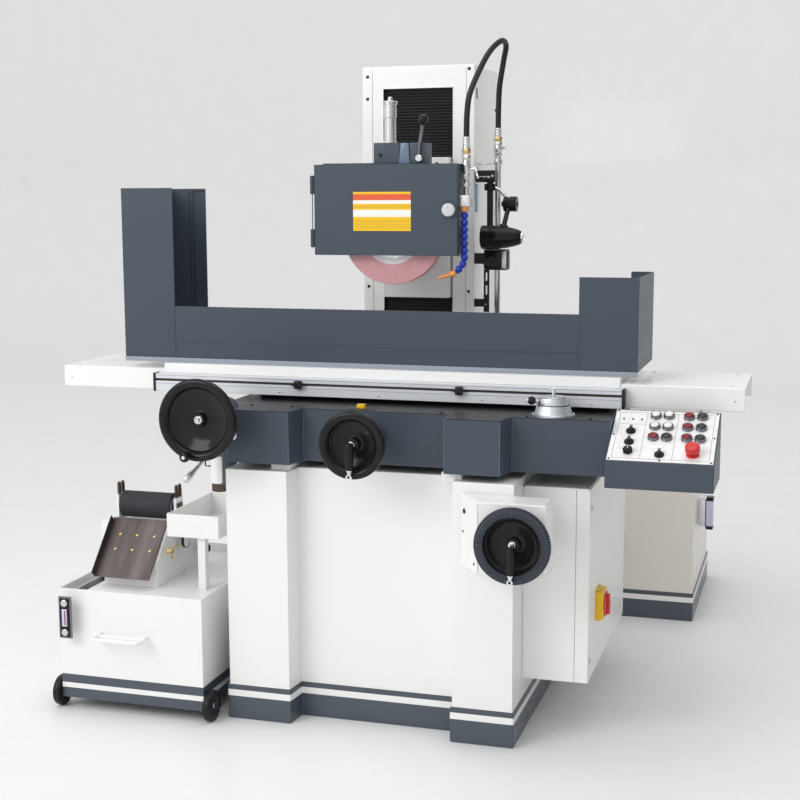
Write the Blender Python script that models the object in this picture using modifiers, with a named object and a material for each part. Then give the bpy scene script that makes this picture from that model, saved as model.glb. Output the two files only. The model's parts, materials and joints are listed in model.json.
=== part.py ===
"""Surface grinder with a reciprocating table, a vertical wheel head, a hydraulic unit and a wheeled
coolant unit. Metres, +Z up, +X right, +Y to the rear. The origin is on the floor under the middle of
the column, at x = 0 in the wheel's vertical centre plane."""

import math

import bmesh
import bpy
from mathutils import Matrix, Vector

GAP = 0.0003  # clearance between pieces that touch
SHEET = 0.003  # sheet metal
FLOOR_Z = 0.0

# base casting
BASE_LEFT, BASE_RIGHT = -0.382, 0.487
BASE_FRONT, BASE_RECESS, BASE_REAR = -0.53, -0.45, 0.60
BASE_TOP = 0.765
WAY_TOP = 0.785
PLINTH_TOP, PLINTH_PROUD = 0.105, 0.005

# column, its cover and the wheel head
COLUMN_TOP = 1.979
COVER_HALF, COVER_FRONT, COVER_REAR = 0.19, 0.20, 0.525
SLOT_HALF, SLOT_LOW, SLOT_HIGH = 0.118, 0.83, 1.91
CARRIAGE_LOW, CARRIAGE_HIGH, CARRIAGE_HALF = 1.229, 1.6845, 0.113
SPINDLE_Z = 1.45
WHEEL_RADIUS, WHEEL_FRONT, WHEEL_REAR = 0.1625, -0.088, -0.050
WHEEL_SIDES = 36  # the hub and the wheel's bore share their facets
GUARD_LEFT, GUARD_RIGHT = -0.24, 0.22
GUARD_FRONT, GUARD_REAR = -0.13, -0.03
GUARD_LOW, GUARD_HIGH = 1.379, 1.657
DOOR_HINGE = (-0.2465, -0.1345)
DRESSER_X, DRESSER_Y = -0.011, -0.068
DRESSER_TOP = 1.722

# saddle and table
SADDLE_LEFT, SADDLE_RIGHT = -0.42, 0.72
SADDLE_FRONT, SADDLE_REAR, SADDLE_TOP = -0.44, 0.105, 0.94
TABLE_LEFT, TABLE_RIGHT = -0.70, 0.74
TABLE_FRONT, TABLE_REAR = -0.27, 0.10
TABLE_LOW, TABLE_TOP = 0.96, 1.04
COVER_LOW, COVER_TOP = 0.955, 1.022
RAIL_FRONT, RAIL_LOW, RAIL_TOP = -0.30, 0.955, 1.01
SPLASH_LEFT, SPLASH_RIGHT = -0.852, 0.785
SPLASH_FRONT, SPLASH_REAR = -0.24, 0.11
SPLASH_LOW, SPLASH_MID, SPLASH_TALL_LEFT, SPLASH_TALL_RIGHT = 1.053, 1.218, 1.588, 1.326
SPLASH_SHEET = 0.004

# handwheels: centre (x, hub rear y, z) and rim radius
TABLE_WHEEL = ((-0.41, -0.62, 0.927), 0.120)
CROSS_WHEEL = ((0.048, -0.60, 0.873), 0.097)
ELEVATING_WHEEL = ((0.52, -0.665, 0.634), 0.105)
RIM_PROUD = 0.046  # how far a rim's front stands before the hub's rear

# controls: the desk's sloping top starts at its front edge
DESK_LEFT, DESK_RIGHT = 0.7403, 1.03
DESK_EDGE_Y, DESK_EDGE_Z = -0.55, 0.85
DESK_SLOPE = math.atan2(0.105, 0.2)
VALVE = (0.566, -0.375)

# coolant unit
TANK_LEFT, TANK_RIGHT = -0.912, -0.438
TANK_FRONT, TANK_REAR = -0.60, 0.05
TANK_LOW, TANK_DECK, TANK_RIM = 0.035, 0.352, 0.38
CASTER_RADIUS, CASTER_WIDTH = 0.047, 0.022
CASTER_FRONT_Y, CASTER_REAR_Y = -0.575, 0.0
ROLLER_Y, ROLLER_Z, ROLLER_RADIUS = -0.30, 0.585, 0.042

# coolant supply
RISER = (0.257, 0.25)
RISER_TOP = 1.778
SPRAY = (0.2345, -0.10)
HOSE_RADIUS = 0.009
HOSE_ROUTE = [
    (0.257, 0.250, 1.7785), (0.257, 0.250, 1.815), (0.260, 0.250, 1.905), (0.274, 0.246, 1.990),
    (0.287, 0.222, 2.036), (0.281, 0.175, 2.045), (0.258, 0.110, 2.004), (0.238, 0.030, 1.925),
    (0.231, -0.034, 1.862), (0.233, -0.069, 1.805), (0.2345, -0.080, 1.765), (0.2345, -0.080, 1.7375),
]

WHITE = ((0.90, 0.90, 0.89), 0.0, 0.35)
DARK = ((0.058, 0.075, 0.092), 0.0, 0.45)
BLACK = ((0.01, 0.01, 0.01), 0.0, 0.25)
STEEL = ((0.60, 0.60, 0.60), 1.0, 0.3)
ALUMINIUM = ((0.75, 0.77, 0.80), 1.0, 0.35)
RUBBER = ((0.03, 0.03, 0.03), 0.0, 0.7)
RED = ((0.70, 0.02, 0.02), 0.0, 0.3)
ORANGE = ((0.85, 0.35, 0.08), 0.0, 0.4)
PINK = ((0.80, 0.45, 0.48), 0.0, 0.9)
BROWN = ((0.14, 0.11, 0.11), 0.6, 0.5)

for old in list(bpy.data.objects):
    bpy.data.objects.remove(old)
PARTS = bpy.data.collections.new("surface_grinder")
CUTTERS = bpy.data.collections.new("cutters")
bpy.context.scene.collection.children.link(PARTS)
bpy.context.scene.collection.children.link(CUTTERS)
BODIES = {}

# ---------------------------------------------------------------- shapes


def as_object(mesh):
    """Puts a mesh in the scene as a working shape, until it becomes a node."""
    shape = bpy.data.objects.new("shape", mesh)
    shape.hide_render = True
    shape.display_type = "WIRE"
    CUTTERS.objects.link(shape)
    return shape


def baked(source, place=Matrix.Identity(4)):
    """The evaluated mesh of a curve or modified object, welded and placed."""
    graph = bpy.context.evaluated_depsgraph_get()
    mesh = bpy.data.meshes.new_from_object(source.evaluated_get(graph))
    mesh.transform(place)
    bpy.data.objects.remove(source)
    work = bmesh.new()
    work.from_mesh(mesh)
    bmesh.ops.remove_doubles(work, verts=work.verts, dist=0.00001)
    bmesh.ops.recalc_face_normals(work, faces=work.faces)
    work.to_mesh(mesh)
    work.free()
    return as_object(mesh)


def along(axis, centre):
    """Matrix that turns +Z to an axis and moves the origin to a centre."""
    turn = Vector((0, 0, 1)).rotation_difference(Vector(axis)).to_matrix().to_4x4()
    return Matrix.Translation(centre) @ turn


def block(low, high, bevel=0.0):
    """A box between two corners, its edges rounded by a Bevel modifier."""
    low, high = Vector(low), Vector(high)
    mesh = bpy.data.meshes.new("block")
    work = bmesh.new()
    size = Matrix.Diagonal((*(high - low), 1.0))
    bmesh.ops.create_cube(work, size=1.0, matrix=Matrix.Translation((low + high) / 2) @ size)
    work.to_mesh(mesh)
    work.free()
    shape = as_object(mesh)
    if bevel:
        soften(shape, bevel)
    return shape


def soften(shape, width, segments=1):
    edge = shape.modifiers.new("edges", "BEVEL")
    edge.width = width
    edge.segments = segments
    edge.limit_method = "ANGLE"
    edge.angle_limit = math.radians(40)


def drum(start, end, radius, sides=24, end_radius=None):
    """A cylinder or cone frustum between two points."""
    start, end = Vector(start), Vector(end)
    mesh = bpy.data.meshes.new("drum")
    work = bmesh.new()
    tip = radius if end_radius is None else end_radius
    bmesh.ops.create_cone(
        work, cap_ends=True, segments=sides, radius1=radius, radius2=tip,
        depth=(end - start).length, matrix=along(end - start, (start + end) / 2))
    work.to_mesh(mesh)
    work.free()
    return as_object(mesh)


def ball(centre, radius, sides=12):
    mesh = bpy.data.meshes.new("ball")
    work = bmesh.new()
    bmesh.ops.create_uvsphere(
        work, u_segments=sides, v_segments=sides // 2, radius=radius, matrix=Matrix.Translation(centre))
    work.to_mesh(mesh)
    work.free()
    return as_object(mesh)


def turned(profile, centre, axis, sides=24, closed=False):
    """Turns (radius, height) points, listed from the top down, about an axis through a centre."""
    count = len(profile)
    edges = [(i, i + 1) for i in range(count - 1)]
    if closed:
        edges.append((count - 1, 0))
    mesh = bpy.data.meshes.new("profile")
    mesh.from_pydata([(radius, 0.0, height) for radius, height in profile], edges, [])
    shape = as_object(mesh)
    screw = shape.modifiers.new("turn", "SCREW")
    screw.steps = sides
    screw.render_steps = sides
    screw.use_merge_vertices = True
    screw.merge_threshold = 0.00001
    return baked(shape, along(axis, centre))


PLANES = {  # local x, local y and extrusion direction of a flat outline
    "XY": ((1, 0, 0), (0, 1, 0), (0, 0, 1)),
    "XZ": ((1, 0, 0), (0, 0, 1), (0, -1, 0)),
    "YZ": ((0, 1, 0), (0, 0, 1), (1, 0, 0)),
}


def plate(outline, plane, low, high):
    """A flat outline in a plane, filling the space from low to high on the third axis."""
    curve = bpy.data.curves.new("outline", "CURVE")
    curve.dimensions = "2D"
    curve.fill_mode = "BOTH"
    curve.extrude = (high - low) / 2
    spline = curve.splines.new("POLY")
    spline.points.add(len(outline) - 1)
    for point, (u, v) in zip(spline.points, outline):
        point.co = (u, v, 0.0, 1.0)
    spline.use_cyclic_u = True
    source = bpy.data.objects.new("outline", curve)
    CUTTERS.objects.link(source)
    across, up, out = (Vector(direction) for direction in PLANES[plane])
    middle = out * ((low + high) / 2 * sum(out))
    place = Matrix((across, up, out)).transposed().to_4x4()
    place.translation = middle
    return baked(source, place)


def rod(points, radius, resolution=2, scales=None):
    """A round bar or tube through points, with flat ends and an optional scale at each point."""
    curve = bpy.data.curves.new("rod", "CURVE")
    curve.dimensions = "3D"
    curve.bevel_depth = radius
    curve.bevel_resolution = resolution
    curve.use_fill_caps = True
    spline = curve.splines.new("POLY")
    spline.points.add(len(points) - 1)
    for index, place in enumerate(points):
        spline.points[index].co = (*place, 1.0)
        spline.points[index].radius = scales[index] if scales else 1.0
    source = bpy.data.objects.new("rod", curve)
    CUTTERS.objects.link(source)
    return baked(source)


def smooth_route(route, steps):
    """Points on a Catmull-Rom curve through a route."""
    path = [Vector(point) for point in route]
    path = [2 * path[0] - path[1]] + path + [2 * path[-1] - path[-2]]
    points = []
    for i in range(1, len(path) - 2):
        a, b, c, d = path[i - 1:i + 3]
        for step in range(steps):
            t = step / steps
            points.append(0.5 * (2 * b + (c - a) * t + (2 * a - 5 * b + 4 * c - d) * t * t
                                 + (3 * b - a - 3 * c + d) * t ** 3))
    points.append(path[-2])
    return points


def grown(outline, distance):
    """An outline's corners moved outward (or inward, when negative) by a distance."""
    moved = []
    count = len(outline)
    for i, corner in enumerate(outline):
        corner = Vector(corner)
        before = (corner - Vector(outline[i - 1])).normalized()
        after = (Vector(outline[(i + 1) % count]) - corner).normalized()
        normal_a = Vector((before.y, -before.x))
        normal_b = Vector((after.y, -after.x))
        bisector = (normal_a + normal_b).normalized()
        moved.append(tuple(corner + bisector * distance / bisector.dot(normal_a)))
    return moved


def combine(shape, operation, others):
    for other in others:
        change = shape.modifiers.new(operation.lower(), "BOOLEAN")
        change.operation = operation
        change.object = other
    return shape


def join(shape, *others):
    return combine(shape, "UNION", others)


def cut(shape, *others):
    return combine(shape, "DIFFERENCE", others)


# ---------------------------------------------------------------- nodes


def body(name, pivot=(0, 0, 0), parent=None):
    """An empty on a body's joint axis, under the empty of the body that carries it."""
    empty = bpy.data.objects.new(name + "_joint", None)
    empty.empty_display_size = 0.05
    PARTS.objects.link(empty)
    BODIES[name] = (empty, Vector(pivot))
    empty.location = pivot
    if parent:
        carrier, carrier_pivot = BODIES[parent]
        empty.parent = carrier
        empty.location = Vector(pivot) - carrier_pivot


def node(name, shape, paint, owner):
    """Names a finished shape, gives it its material and hangs it on its body."""
    empty, pivot = BODIES[owner]
    shape.name = name
    shape.data.transform(Matrix.Translation(-pivot))
    shape.data.shade_smooth()
    shape.data.set_sharp_from_angle(angle=math.radians(35))
    shape.parent = empty
    shape.hide_render = False
    shape.display_type = "TEXTURED"
    CUTTERS.objects.unlink(shape)
    PARTS.objects.link(shape)
    color, metallic, roughness = paint
    material = bpy.data.materials.new(name + "_material")
    material.use_nodes = True
    shader = material.node_tree.nodes["Principled BSDF"]
    shader.inputs["Base Color"].default_value = (*color, 1.0)
    shader.inputs["Metallic"].default_value = metallic
    shader.inputs["Roughness"].default_value = roughness
    shape.data.materials.clear()
    shape.data.materials.append(material)


# ---------------------------------------------------------------- base and column

BASE_OUTLINE = [
    (BASE_LEFT, BASE_FRONT), (-0.190, BASE_FRONT), (-0.182, BASE_RECESS), (0.310, BASE_RECESS),
    (0.310, BASE_FRONT), (BASE_RIGHT, BASE_FRONT), (BASE_RIGHT, BASE_REAR), (BASE_LEFT, BASE_REAR)]
BASE_WAYS = ((-0.25, -0.19), (0.27, 0.33))


def base_casting():
    wall = 0.03
    shape = plate(BASE_OUTLINE, "XY", FLOOR_Z, BASE_TOP)
    plinth = plate(grown(BASE_OUTLINE, PLINTH_PROUD), "XY", FLOOR_Z, PLINTH_TOP)
    hollow = plate(grown(BASE_OUTLINE, -wall), "XY", FLOOR_Z - 0.01, BASE_TOP - 0.04)
    rib = block((BASE_LEFT + 0.01, -0.04, FLOOR_Z), (BASE_RIGHT - 0.01, 0.04, 0.12))
    join(shape, plinth)
    cut(shape, hollow)
    join(shape, rib)
    for low, high in BASE_WAYS:
        join(shape, block((low, -0.50, BASE_TOP - 0.01), (high, 0.19, WAY_TOP - GAP)))
    node("base_casting", shape, WHITE, "base")


def column_casting():
    shape = block((-0.15, 0.25, BASE_TOP + GAP), (0.15, 0.50, COLUMN_TOP - 0.049))
    cut(shape, block((-0.12, 0.275, 0.80), (0.12, 0.47, COLUMN_TOP)),
        block((-0.085, 0.24, 0.95), (0.085, 0.28, COLUMN_TOP)))
    node("column_casting", shape, DARK, "base")


def column_cover():
    shape = block((-COVER_HALF, COVER_FRONT, BASE_TOP + GAP), (COVER_HALF, COVER_REAR, COLUMN_TOP), 0.002)
    inner = COVER_HALF - SHEET
    cut(shape,
        block((-inner, COVER_FRONT + SHEET, BASE_TOP - 0.01), (inner, COVER_REAR - SHEET, COLUMN_TOP - SHEET)),
        block((-SLOT_HALF, COVER_FRONT - 0.01, SLOT_LOW), (SLOT_HALF, COVER_FRONT + 0.006, SLOT_HIGH)))
    node("column_cover", shape, WHITE, "base")


def bellows(name, low, high):
    """Pleated cover behind the column's slot, drawn as one folded outline."""
    crest, valley, back = COVER_FRONT + 0.0065, COVER_FRONT + 0.020, COVER_FRONT + 0.038
    folds = 2 * round((high - low) / 0.018)
    pitch = (high - low) / folds
    front = [(valley if i % 2 else crest, high - i * pitch) for i in range(folds + 1)]
    shape = plate(front + [(back, low), (back, high)], "YZ", -0.128, 0.128)
    node(name, shape, BLACK, "base")


def hydraulic_tank():
    outline = [(0.31, 0.84), (0.864, 0.84), (0.864, 1.50), (0.31, 1.50)]
    shape = plate(outline, "XY", FLOOR_Z, 0.79)
    join(shape, plate(grown(outline, PLINTH_PROUD), "XY", FLOOR_Z, PLINTH_TOP))
    cut(shape, plate(grown(outline, -0.006), "XY", FLOOR_Z - 0.01, 0.784))
    node("hydraulic_tank", shape, WHITE, "base")


# ---------------------------------------------------------------- electric cabinet and elevating box

CABINET_LEFT, CABINET_RIGHT = BASE_RIGHT + GAP, 0.64
CABINET_FRONT, CABINET_REAR = -0.40, 0.33
CABINET_LOW, CABINET_TOP = 0.165, 0.735
CABINET_DOOR_FACE = 0.68
SWITCH = (-0.235, 0.36)


def electric_cabinet():
    shape = block((CABINET_LEFT, CABINET_FRONT, CABINET_LOW), (CABINET_RIGHT, CABINET_REAR, CABINET_TOP))
    cut(shape, block((CABINET_LEFT + SHEET, CABINET_FRONT + SHEET, CABINET_LOW + SHEET),
                     (CABINET_RIGHT + 0.01, CABINET_REAR - SHEET, CABINET_TOP - SHEET)))
    node("electric_cabinet", shape, WHITE, "base")


def cabinet_door():
    inner = CABINET_RIGHT + GAP
    rim = 0.012
    shape = block((inner, CABINET_FRONT, CABINET_LOW), (CABINET_DOOR_FACE, CABINET_REAR, CABINET_TOP), 0.002)
    cut(shape, block((inner - 0.01, CABINET_FRONT + rim, CABINET_LOW + rim),
                     (CABINET_DOOR_FACE - SHEET, CABINET_REAR - rim, CABINET_TOP - rim)))
    node("cabinet_door", shape, WHITE, "cabinet_door")


def main_switch():
    face = CABINET_DOOR_FACE + 0.0013
    shape = drum((face, *SWITCH), (face + 0.014, *SWITCH), 0.034)
    y, z = SWITCH
    join(shape, block((face + 0.010, y - 0.011, z - 0.031), (face + 0.038, y + 0.011, z + 0.031), 0.004))
    node("main_switch", shape, RED, "main_switch")


def handwheel_box():
    rear, front = BASE_FRONT - PLINTH_PROUD - GAP, -0.64
    shape = plate([(0.335, rear), (0.41, front), (0.60, front), (0.60, rear)], "XY", 0.53, 0.735)
    soften(shape, 0.003)
    cut(shape, block((0.43, -0.62, 0.545), (0.58, -0.50, 0.72)),
        plate([(0.30, 0.50), (0.455, 0.50), (0.30, 0.61)], "XZ", 0.50, 0.70))
    node("handwheel_box", shape, WHITE, "base")


# ---------------------------------------------------------------- saddle


def saddle_casting():
    shape = block((SADDLE_LEFT, SADDLE_FRONT, WAY_TOP + GAP), (SADDLE_RIGHT, SADDLE_REAR, SADDLE_TOP))
    for low, high in ((-0.38, -0.28), (-0.16, 0.24), (0.36, 0.68)):
        cut(shape, block((low, SADDLE_FRONT + 0.03, WAY_TOP - 0.01), (high, SADDLE_REAR - 0.03, 0.90)))
    for front in (-0.21, 0.01):
        join(shape, block((-0.40, front, SADDLE_TOP - 0.005), (0.70, front + 0.06, TABLE_LOW - GAP)))
    node("saddle_casting", shape, DARK, "saddle")


def saddle_apron():
    """Front skirt of the saddle with its two humps, the handwheel bosses and the drain pot."""
    left, right, recess, hump = -0.44, 0.74, BASE_RECESS, BASE_FRONT
    inner = SADDLE_FRONT - GAP
    low = WAY_TOP + GAP
    skirt = [(left, -0.20), (left, recess), (right, recess), (right, -0.20), (right - 0.01, -0.20),
             (right - 0.01, inner), (left + 0.01, inner), (left + 0.01, -0.20)]
    shape = plate(skirt, "XY", low, SADDLE_TOP)
    for hump_left, hump_right in ((-0.373, -0.182), (0.285, 0.446)):
        root = recess + 0.004
        join(shape, plate([(hump_left - 0.012, root), (hump_left, hump), (hump_right, hump),
                           (hump_right + 0.017, root)], "XY", low, SADDLE_TOP))
        cut(shape, block((hump_left + 0.013, hump + 0.01, low - 0.01),
                         (hump_right - 0.013, recess - 0.004, SADDLE_TOP - 0.01)))
    for (x, y, z), _ in (TABLE_WHEEL, CROSS_WHEEL):
        join(shape, drum((x, inner - 0.004, z), (x, y + 0.02, z), 0.040))
    join(shape, block((left + 0.001, recess + 0.001, 0.70), (left + 0.009, -0.41, low + 0.02)),
         drum((-0.418, -0.425, 0.695), (-0.418, -0.425, low - 0.0006), 0.026, 20))
    node("saddle_apron", shape, DARK, "saddle")


def speed_valve():
    x, y = VALVE
    profile = [(0.0, 0.031), (0.047, 0.031), (0.049, 0.026), (0.054, 0.008), (0.056, 0.005),
               (0.062, 0.005), (0.062, 0.0), (0.0, 0.0)]
    shape = turned(profile, (x, y, SADDLE_TOP + GAP), (0, 0, 1), 28)
    node("speed_valve", shape, ALUMINIUM, "saddle")


def speed_lever():
    """Turning top of the speed valve, with its ball lever and the small eye on its stem."""
    x, y = VALVE
    base = SADDLE_TOP + 0.032
    profile = [(0.0, 0.023), (0.030, 0.023), (0.0445, 0.020), (0.0455, 0.018), (0.0455, 0.0), (0.0, 0.0)]
    shape = turned(profile, (x, y, base), (0, 0, 1), 28)
    join(shape, drum((x - 0.03, y - 0.012, base + 0.010), (x - 0.055, y - 0.022, base + 0.012), 0.006, 10),
         ball((x - 0.058, y - 0.023, base + 0.012), 0.013),
         drum((x, y, base + 0.02), (x, y, base + 0.042), 0.005, 10),
         drum((x - 0.012, y, base + 0.045), (x + 0.010, y, base + 0.045), 0.0045, 10))
    node("speed_lever", shape, ALUMINIUM, "speed_lever")


def on_desk(x, along_slope, height):
    """A point on the desk: distance up its slope and height above its surface."""
    side, rise = math.cos(DESK_SLOPE), math.sin(DESK_SLOPE)
    return Vector((x, DESK_EDGE_Y + along_slope * side - height * rise,
                   DESK_EDGE_Z + along_slope * rise + height * side))


DESK_NORMAL = Vector((0, -math.sin(DESK_SLOPE), math.cos(DESK_SLOPE)))


def control_box():
    rear, low, top = -0.33, 0.775, on_desk(0, 0.236, 0)
    outline = [(DESK_EDGE_Y, low), (rear, low), (rear, top.z), (top.y, top.z), (DESK_EDGE_Y, DESK_EDGE_Z)]
    shape = plate(outline, "YZ", DESK_LEFT, DESK_RIGHT)
    inside = [(y, z - 0.02 if z == low else z) for y, z in grown(outline, -SHEET)]
    inside = [(y, low - 0.01 if z < low + 0.01 else z) for y, z in inside]
    cut(shape, plate(inside, "YZ", DESK_LEFT + SHEET, DESK_RIGHT - SHEET))
    node("control_box", shape, DARK, "saddle")


DESK_PLATE = 0.002  # thickness of the label plate that lies on the desk
BUTTONS = {
    "start_button": (0.855, 0.207, WHITE), "stop_button": (0.858, 0.108, RED),
    "feed_button": (0.946, 0.158, RED)}
SELECTORS = {
    "mode_selector": (0.794, 0.134), "feed_selector": (0.795, 0.085),
    "speed_dial": (0.797, 0.041), "pump_selector": (0.882, 0.034)}
E_STOP = (0.970, 0.042)


def controls():
    for name, (x, up, paint) in BUTTONS.items():
        low, high = on_desk(x, up, DESK_PLATE + 0.0047), on_desk(x, up, DESK_PLATE + 0.013)
        body(name, low, "saddle")
        node(name, drum(low, high, 0.0115, 20), paint, name)
    for name, (x, up) in SELECTORS.items():
        low = on_desk(x, up, DESK_PLATE + GAP)
        body(name, low, "saddle")
        profile = [(0.0, 0.016), (0.010, 0.016), (0.012, 0.014), (0.0135, 0.004), (0.0135, 0.0), (0.0, 0.0)]
        node(name, turned(profile, low, DESK_NORMAL, 16), BLACK, name)
    low = on_desk(*E_STOP, DESK_PLATE + 0.006)
    body("e_stop", low, "saddle")
    profile = [(0.0, 0.026), (0.010, 0.0255), (0.017, 0.022), (0.020, 0.016), (0.019, 0.011),
               (0.011, 0.009), (0.011, 0.0), (0.0, 0.0)]
    node("e_stop", turned(profile, low, DESK_NORMAL, 24), RED, "e_stop")


# ---------------------------------------------------------------- table


def table_casting():
    shape = block((TABLE_LEFT, TABLE_FRONT, TABLE_LOW), (TABLE_RIGHT, TABLE_REAR, TABLE_TOP), 0.002)
    node("table_casting", shape, WHITE, "table")


def magnetic_chuck():
    shape = block((-0.50, -0.22, TABLE_TOP + GAP), (0.50, 0.06, 1.125), 0.002)
    node("magnetic_chuck", shape, STEEL, "table")


def end_cover(name, inner_x, outer_x):
    """Sheet-metal cover at a table end: a channel open below and at both ends."""
    low_x, high_x = min(inner_x, outer_x), max(inner_x, outer_x)
    rear = 0.08
    shape = block((low_x, TABLE_FRONT, COVER_LOW), (high_x, rear, COVER_TOP), 0.002)
    cut(shape, block((low_x - 0.01, TABLE_FRONT + SHEET, COVER_LOW - 0.01),
                     (high_x + 0.01, rear - SHEET, COVER_TOP - SHEET)))
    node(name, shape, WHITE, "table")


def dog_rail():
    shape = block((-0.718, RAIL_FRONT, RAIL_LOW), (0.749, TABLE_FRONT - GAP, RAIL_TOP), 0.001)
    cut(shape, block((-0.73, RAIL_FRONT - 0.01, 0.987), (0.76, RAIL_FRONT + 0.008, 0.995)))
    node("dog_rail", shape, ALUMINIUM, "table")


DOGS = {"trip_dog_left": -0.236, "trip_dog_right": 0.271}


def trip_dogs():
    for name, x in DOGS.items():
        front = RAIL_FRONT - 0.0163
        body(name, (x, RAIL_FRONT, 0.991), "table")
        shape = block((x - 0.011, front, 0.978), (x + 0.011, RAIL_FRONT - GAP, 1.004), 0.001)
        join(shape, drum((x, front + 0.002, 0.991), (x, front - 0.008, 0.991), 0.010, 10))
        node(name, shape, BLACK, name)


def splash_guard():
    """Sheet guard round the table: stepped front, two end walls, rear returns and a bottom flange."""
    t, low = SPLASH_SHEET, SPLASH_LOW
    left, right, front, rear = SPLASH_LEFT, SPLASH_RIGHT, SPLASH_FRONT, SPLASH_REAR
    steps = [
        (left, low), (right, low), (right, SPLASH_TALL_RIGHT), (0.612, SPLASH_TALL_RIGHT),
        (0.612, SPLASH_MID), (-0.675, SPLASH_MID), (-0.675, SPLASH_TALL_LEFT), (left, SPLASH_TALL_LEFT)]
    shape = plate(steps, "XZ", front, front + t)
    flange_top = low + 0.004
    join(shape,
         block((left, front, low), (left + t, rear, SPLASH_TALL_LEFT)),
         block((right - t, front, low), (right, rear, SPLASH_TALL_RIGHT)),
         block((left, rear - t, low), (-0.720, rear, SPLASH_TALL_LEFT)),
         block((0.715, rear - t, low), (right, rear, SPLASH_TALL_RIGHT)),
         block((TABLE_LEFT + 0.02, front, TABLE_TOP + GAP), (TABLE_RIGHT - 0.02, front + 0.015, flange_top)))
    node("splash_guard", shape, DARK, "table")


# ---------------------------------------------------------------- handwheels


def dished_wheel(centre, radius, shaft):
    """Dished wheel: hub, cone web and rolled rim, with a stub shaft behind it."""
    r = radius
    profile = [
        (0.0, 0.030), (0.018, 0.030), (0.024, 0.024), (0.028, 0.012), (r - 0.030, 0.030),
        (r - 0.020, 0.044), (r - 0.008, RIM_PROUD), (r, 0.037), (r, 0.027), (r - 0.010, 0.018),
        (0.030, 0.0), (0.014, 0.0), (0.014, -shaft), (0.0, -shaft)]
    return turned(profile, centre, (0, -1, 0), 28)


def fold_handle(name, wheel):
    """Crank handle on a rim pivot, folded up across the dish."""
    (x, y, z), radius = wheel
    pivot = (x, y - RIM_PROUD - 0.0105, z - radius + 0.012)
    body(name, pivot, name.replace("handle", "handwheel"))
    shape = drum((x - 0.009, *pivot[1:]), (x + 0.009, *pivot[1:]), 0.009, 14)
    grip = [(0.0, 0.094), (0.007, 0.092), (0.011, 0.085), (0.0115, 0.060), (0.009, 0.036), (0.006, 0.032),
            (0.005, 0.004), (0.0, 0.004)]
    join(shape, turned(grip, pivot, (0, 0, 1), 14))
    node(name, shape, BLACK, name)


def handwheels():
    (x, y, z), radius = TABLE_WHEEL
    body("table_handwheel", (x, y, z), "saddle")
    shape = dished_wheel((x, y, z), radius, 0.0197)
    knob = [(0.0, 0.078), (0.008, 0.076), (0.010, 0.066), (0.008, 0.052), (0.008, 0.036), (0.0, 0.036)]
    join(shape, turned(knob, (x - 0.023, y, z - 0.101), (0, -1, 0), 14))
    node("table_handwheel", shape, BLACK, "table_handwheel")
    for name, wheel in (("crossfeed_handwheel", CROSS_WHEEL), ("elevating_handwheel", ELEVATING_WHEEL)):
        centre, radius = wheel
        carrier = "saddle" if wheel is CROSS_WHEEL else "base"
        body(name, centre, carrier)
        shaft = 0.0197 if wheel is CROSS_WHEEL else 0.0247
        node(name, dished_wheel(centre, radius, shaft), BLACK, name)
        fold_handle(name.replace("handwheel", "handle"), wheel)


def direction_lever():
    hub = (-0.352, BASE_FRONT, 0.868)
    body("direction_lever", hub, "saddle")
    shape = drum((hub[0], hub[1] - GAP, hub[2]), (hub[0], hub[1] - 0.016, hub[2]), 0.014, 16)
    route = [(-0.352, -0.541, 0.868), (-0.375, -0.560, 0.845), (-0.418, -0.605, 0.800),
             (-0.436, -0.645, 0.770), (-0.447, -0.668, 0.750)]
    join(shape, rod(route, 0.0045, 2, (1.0, 1.0, 1.1, 1.8, 2.2)))
    node("direction_lever", shape, STEEL, "direction_lever")


# ---------------------------------------------------------------- wheel head


def spindle_head():
    shape = block((-CARRIAGE_HALF, 0.170, CARRIAGE_LOW), (CARRIAGE_HALF, 0.2497, CARRIAGE_HIGH), 0.002)
    join(shape, drum((0, GUARD_REAR + GAP, SPINDLE_Z), (0, 0.18, SPINDLE_Z), 0.085, 32),
         drum((0, 0.24, SPINDLE_Z), (0, 0.45, SPINDLE_Z), 0.075, 28))
    cut(shape, drum((0, GUARD_REAR - 0.01, SPINDLE_Z), (0, 0.20, SPINDLE_Z), 0.0335))
    node("spindle_head", shape, WHITE, "head")


def wheel_guard():
    shape = block((GUARD_LEFT, GUARD_FRONT, GUARD_LOW), (GUARD_RIGHT, GUARD_REAR, GUARD_HIGH))
    t = 0.004
    cut(shape, block((GUARD_LEFT + t, GUARD_FRONT - 0.01, GUARD_LOW - 0.01),
                     (GUARD_RIGHT - t, GUARD_REAR - t, GUARD_HIGH - t)),
        drum((0, GUARD_REAR - 0.02, SPINDLE_Z), (0, GUARD_REAR + 0.01, SPINDLE_Z), 0.050),
        drum((DRESSER_X, DRESSER_Y, GUARD_HIGH - 0.02), (DRESSER_X, DRESSER_Y, GUARD_HIGH + 0.01), 0.0125, 16))
    node("wheel_guard", shape, DARK, "head")


def guard_door():
    x, y = DOOR_HINGE
    inner = GUARD_FRONT - GAP
    shape = block((GUARD_LEFT + GAP, inner - 0.004, GUARD_LOW), (GUARD_RIGHT, inner, GUARD_HIGH), 0.001)
    for low, high in ((1.403, 1.459), (1.567, 1.623)):
        join(shape, block((x, inner - 0.0038, low), (GUARD_LEFT + 0.006, inner - 0.0002, high)),
             drum((x, y, low), (x, y, high), 0.006, 12))
    node("guard_door", shape, DARK, "guard_door")


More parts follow.
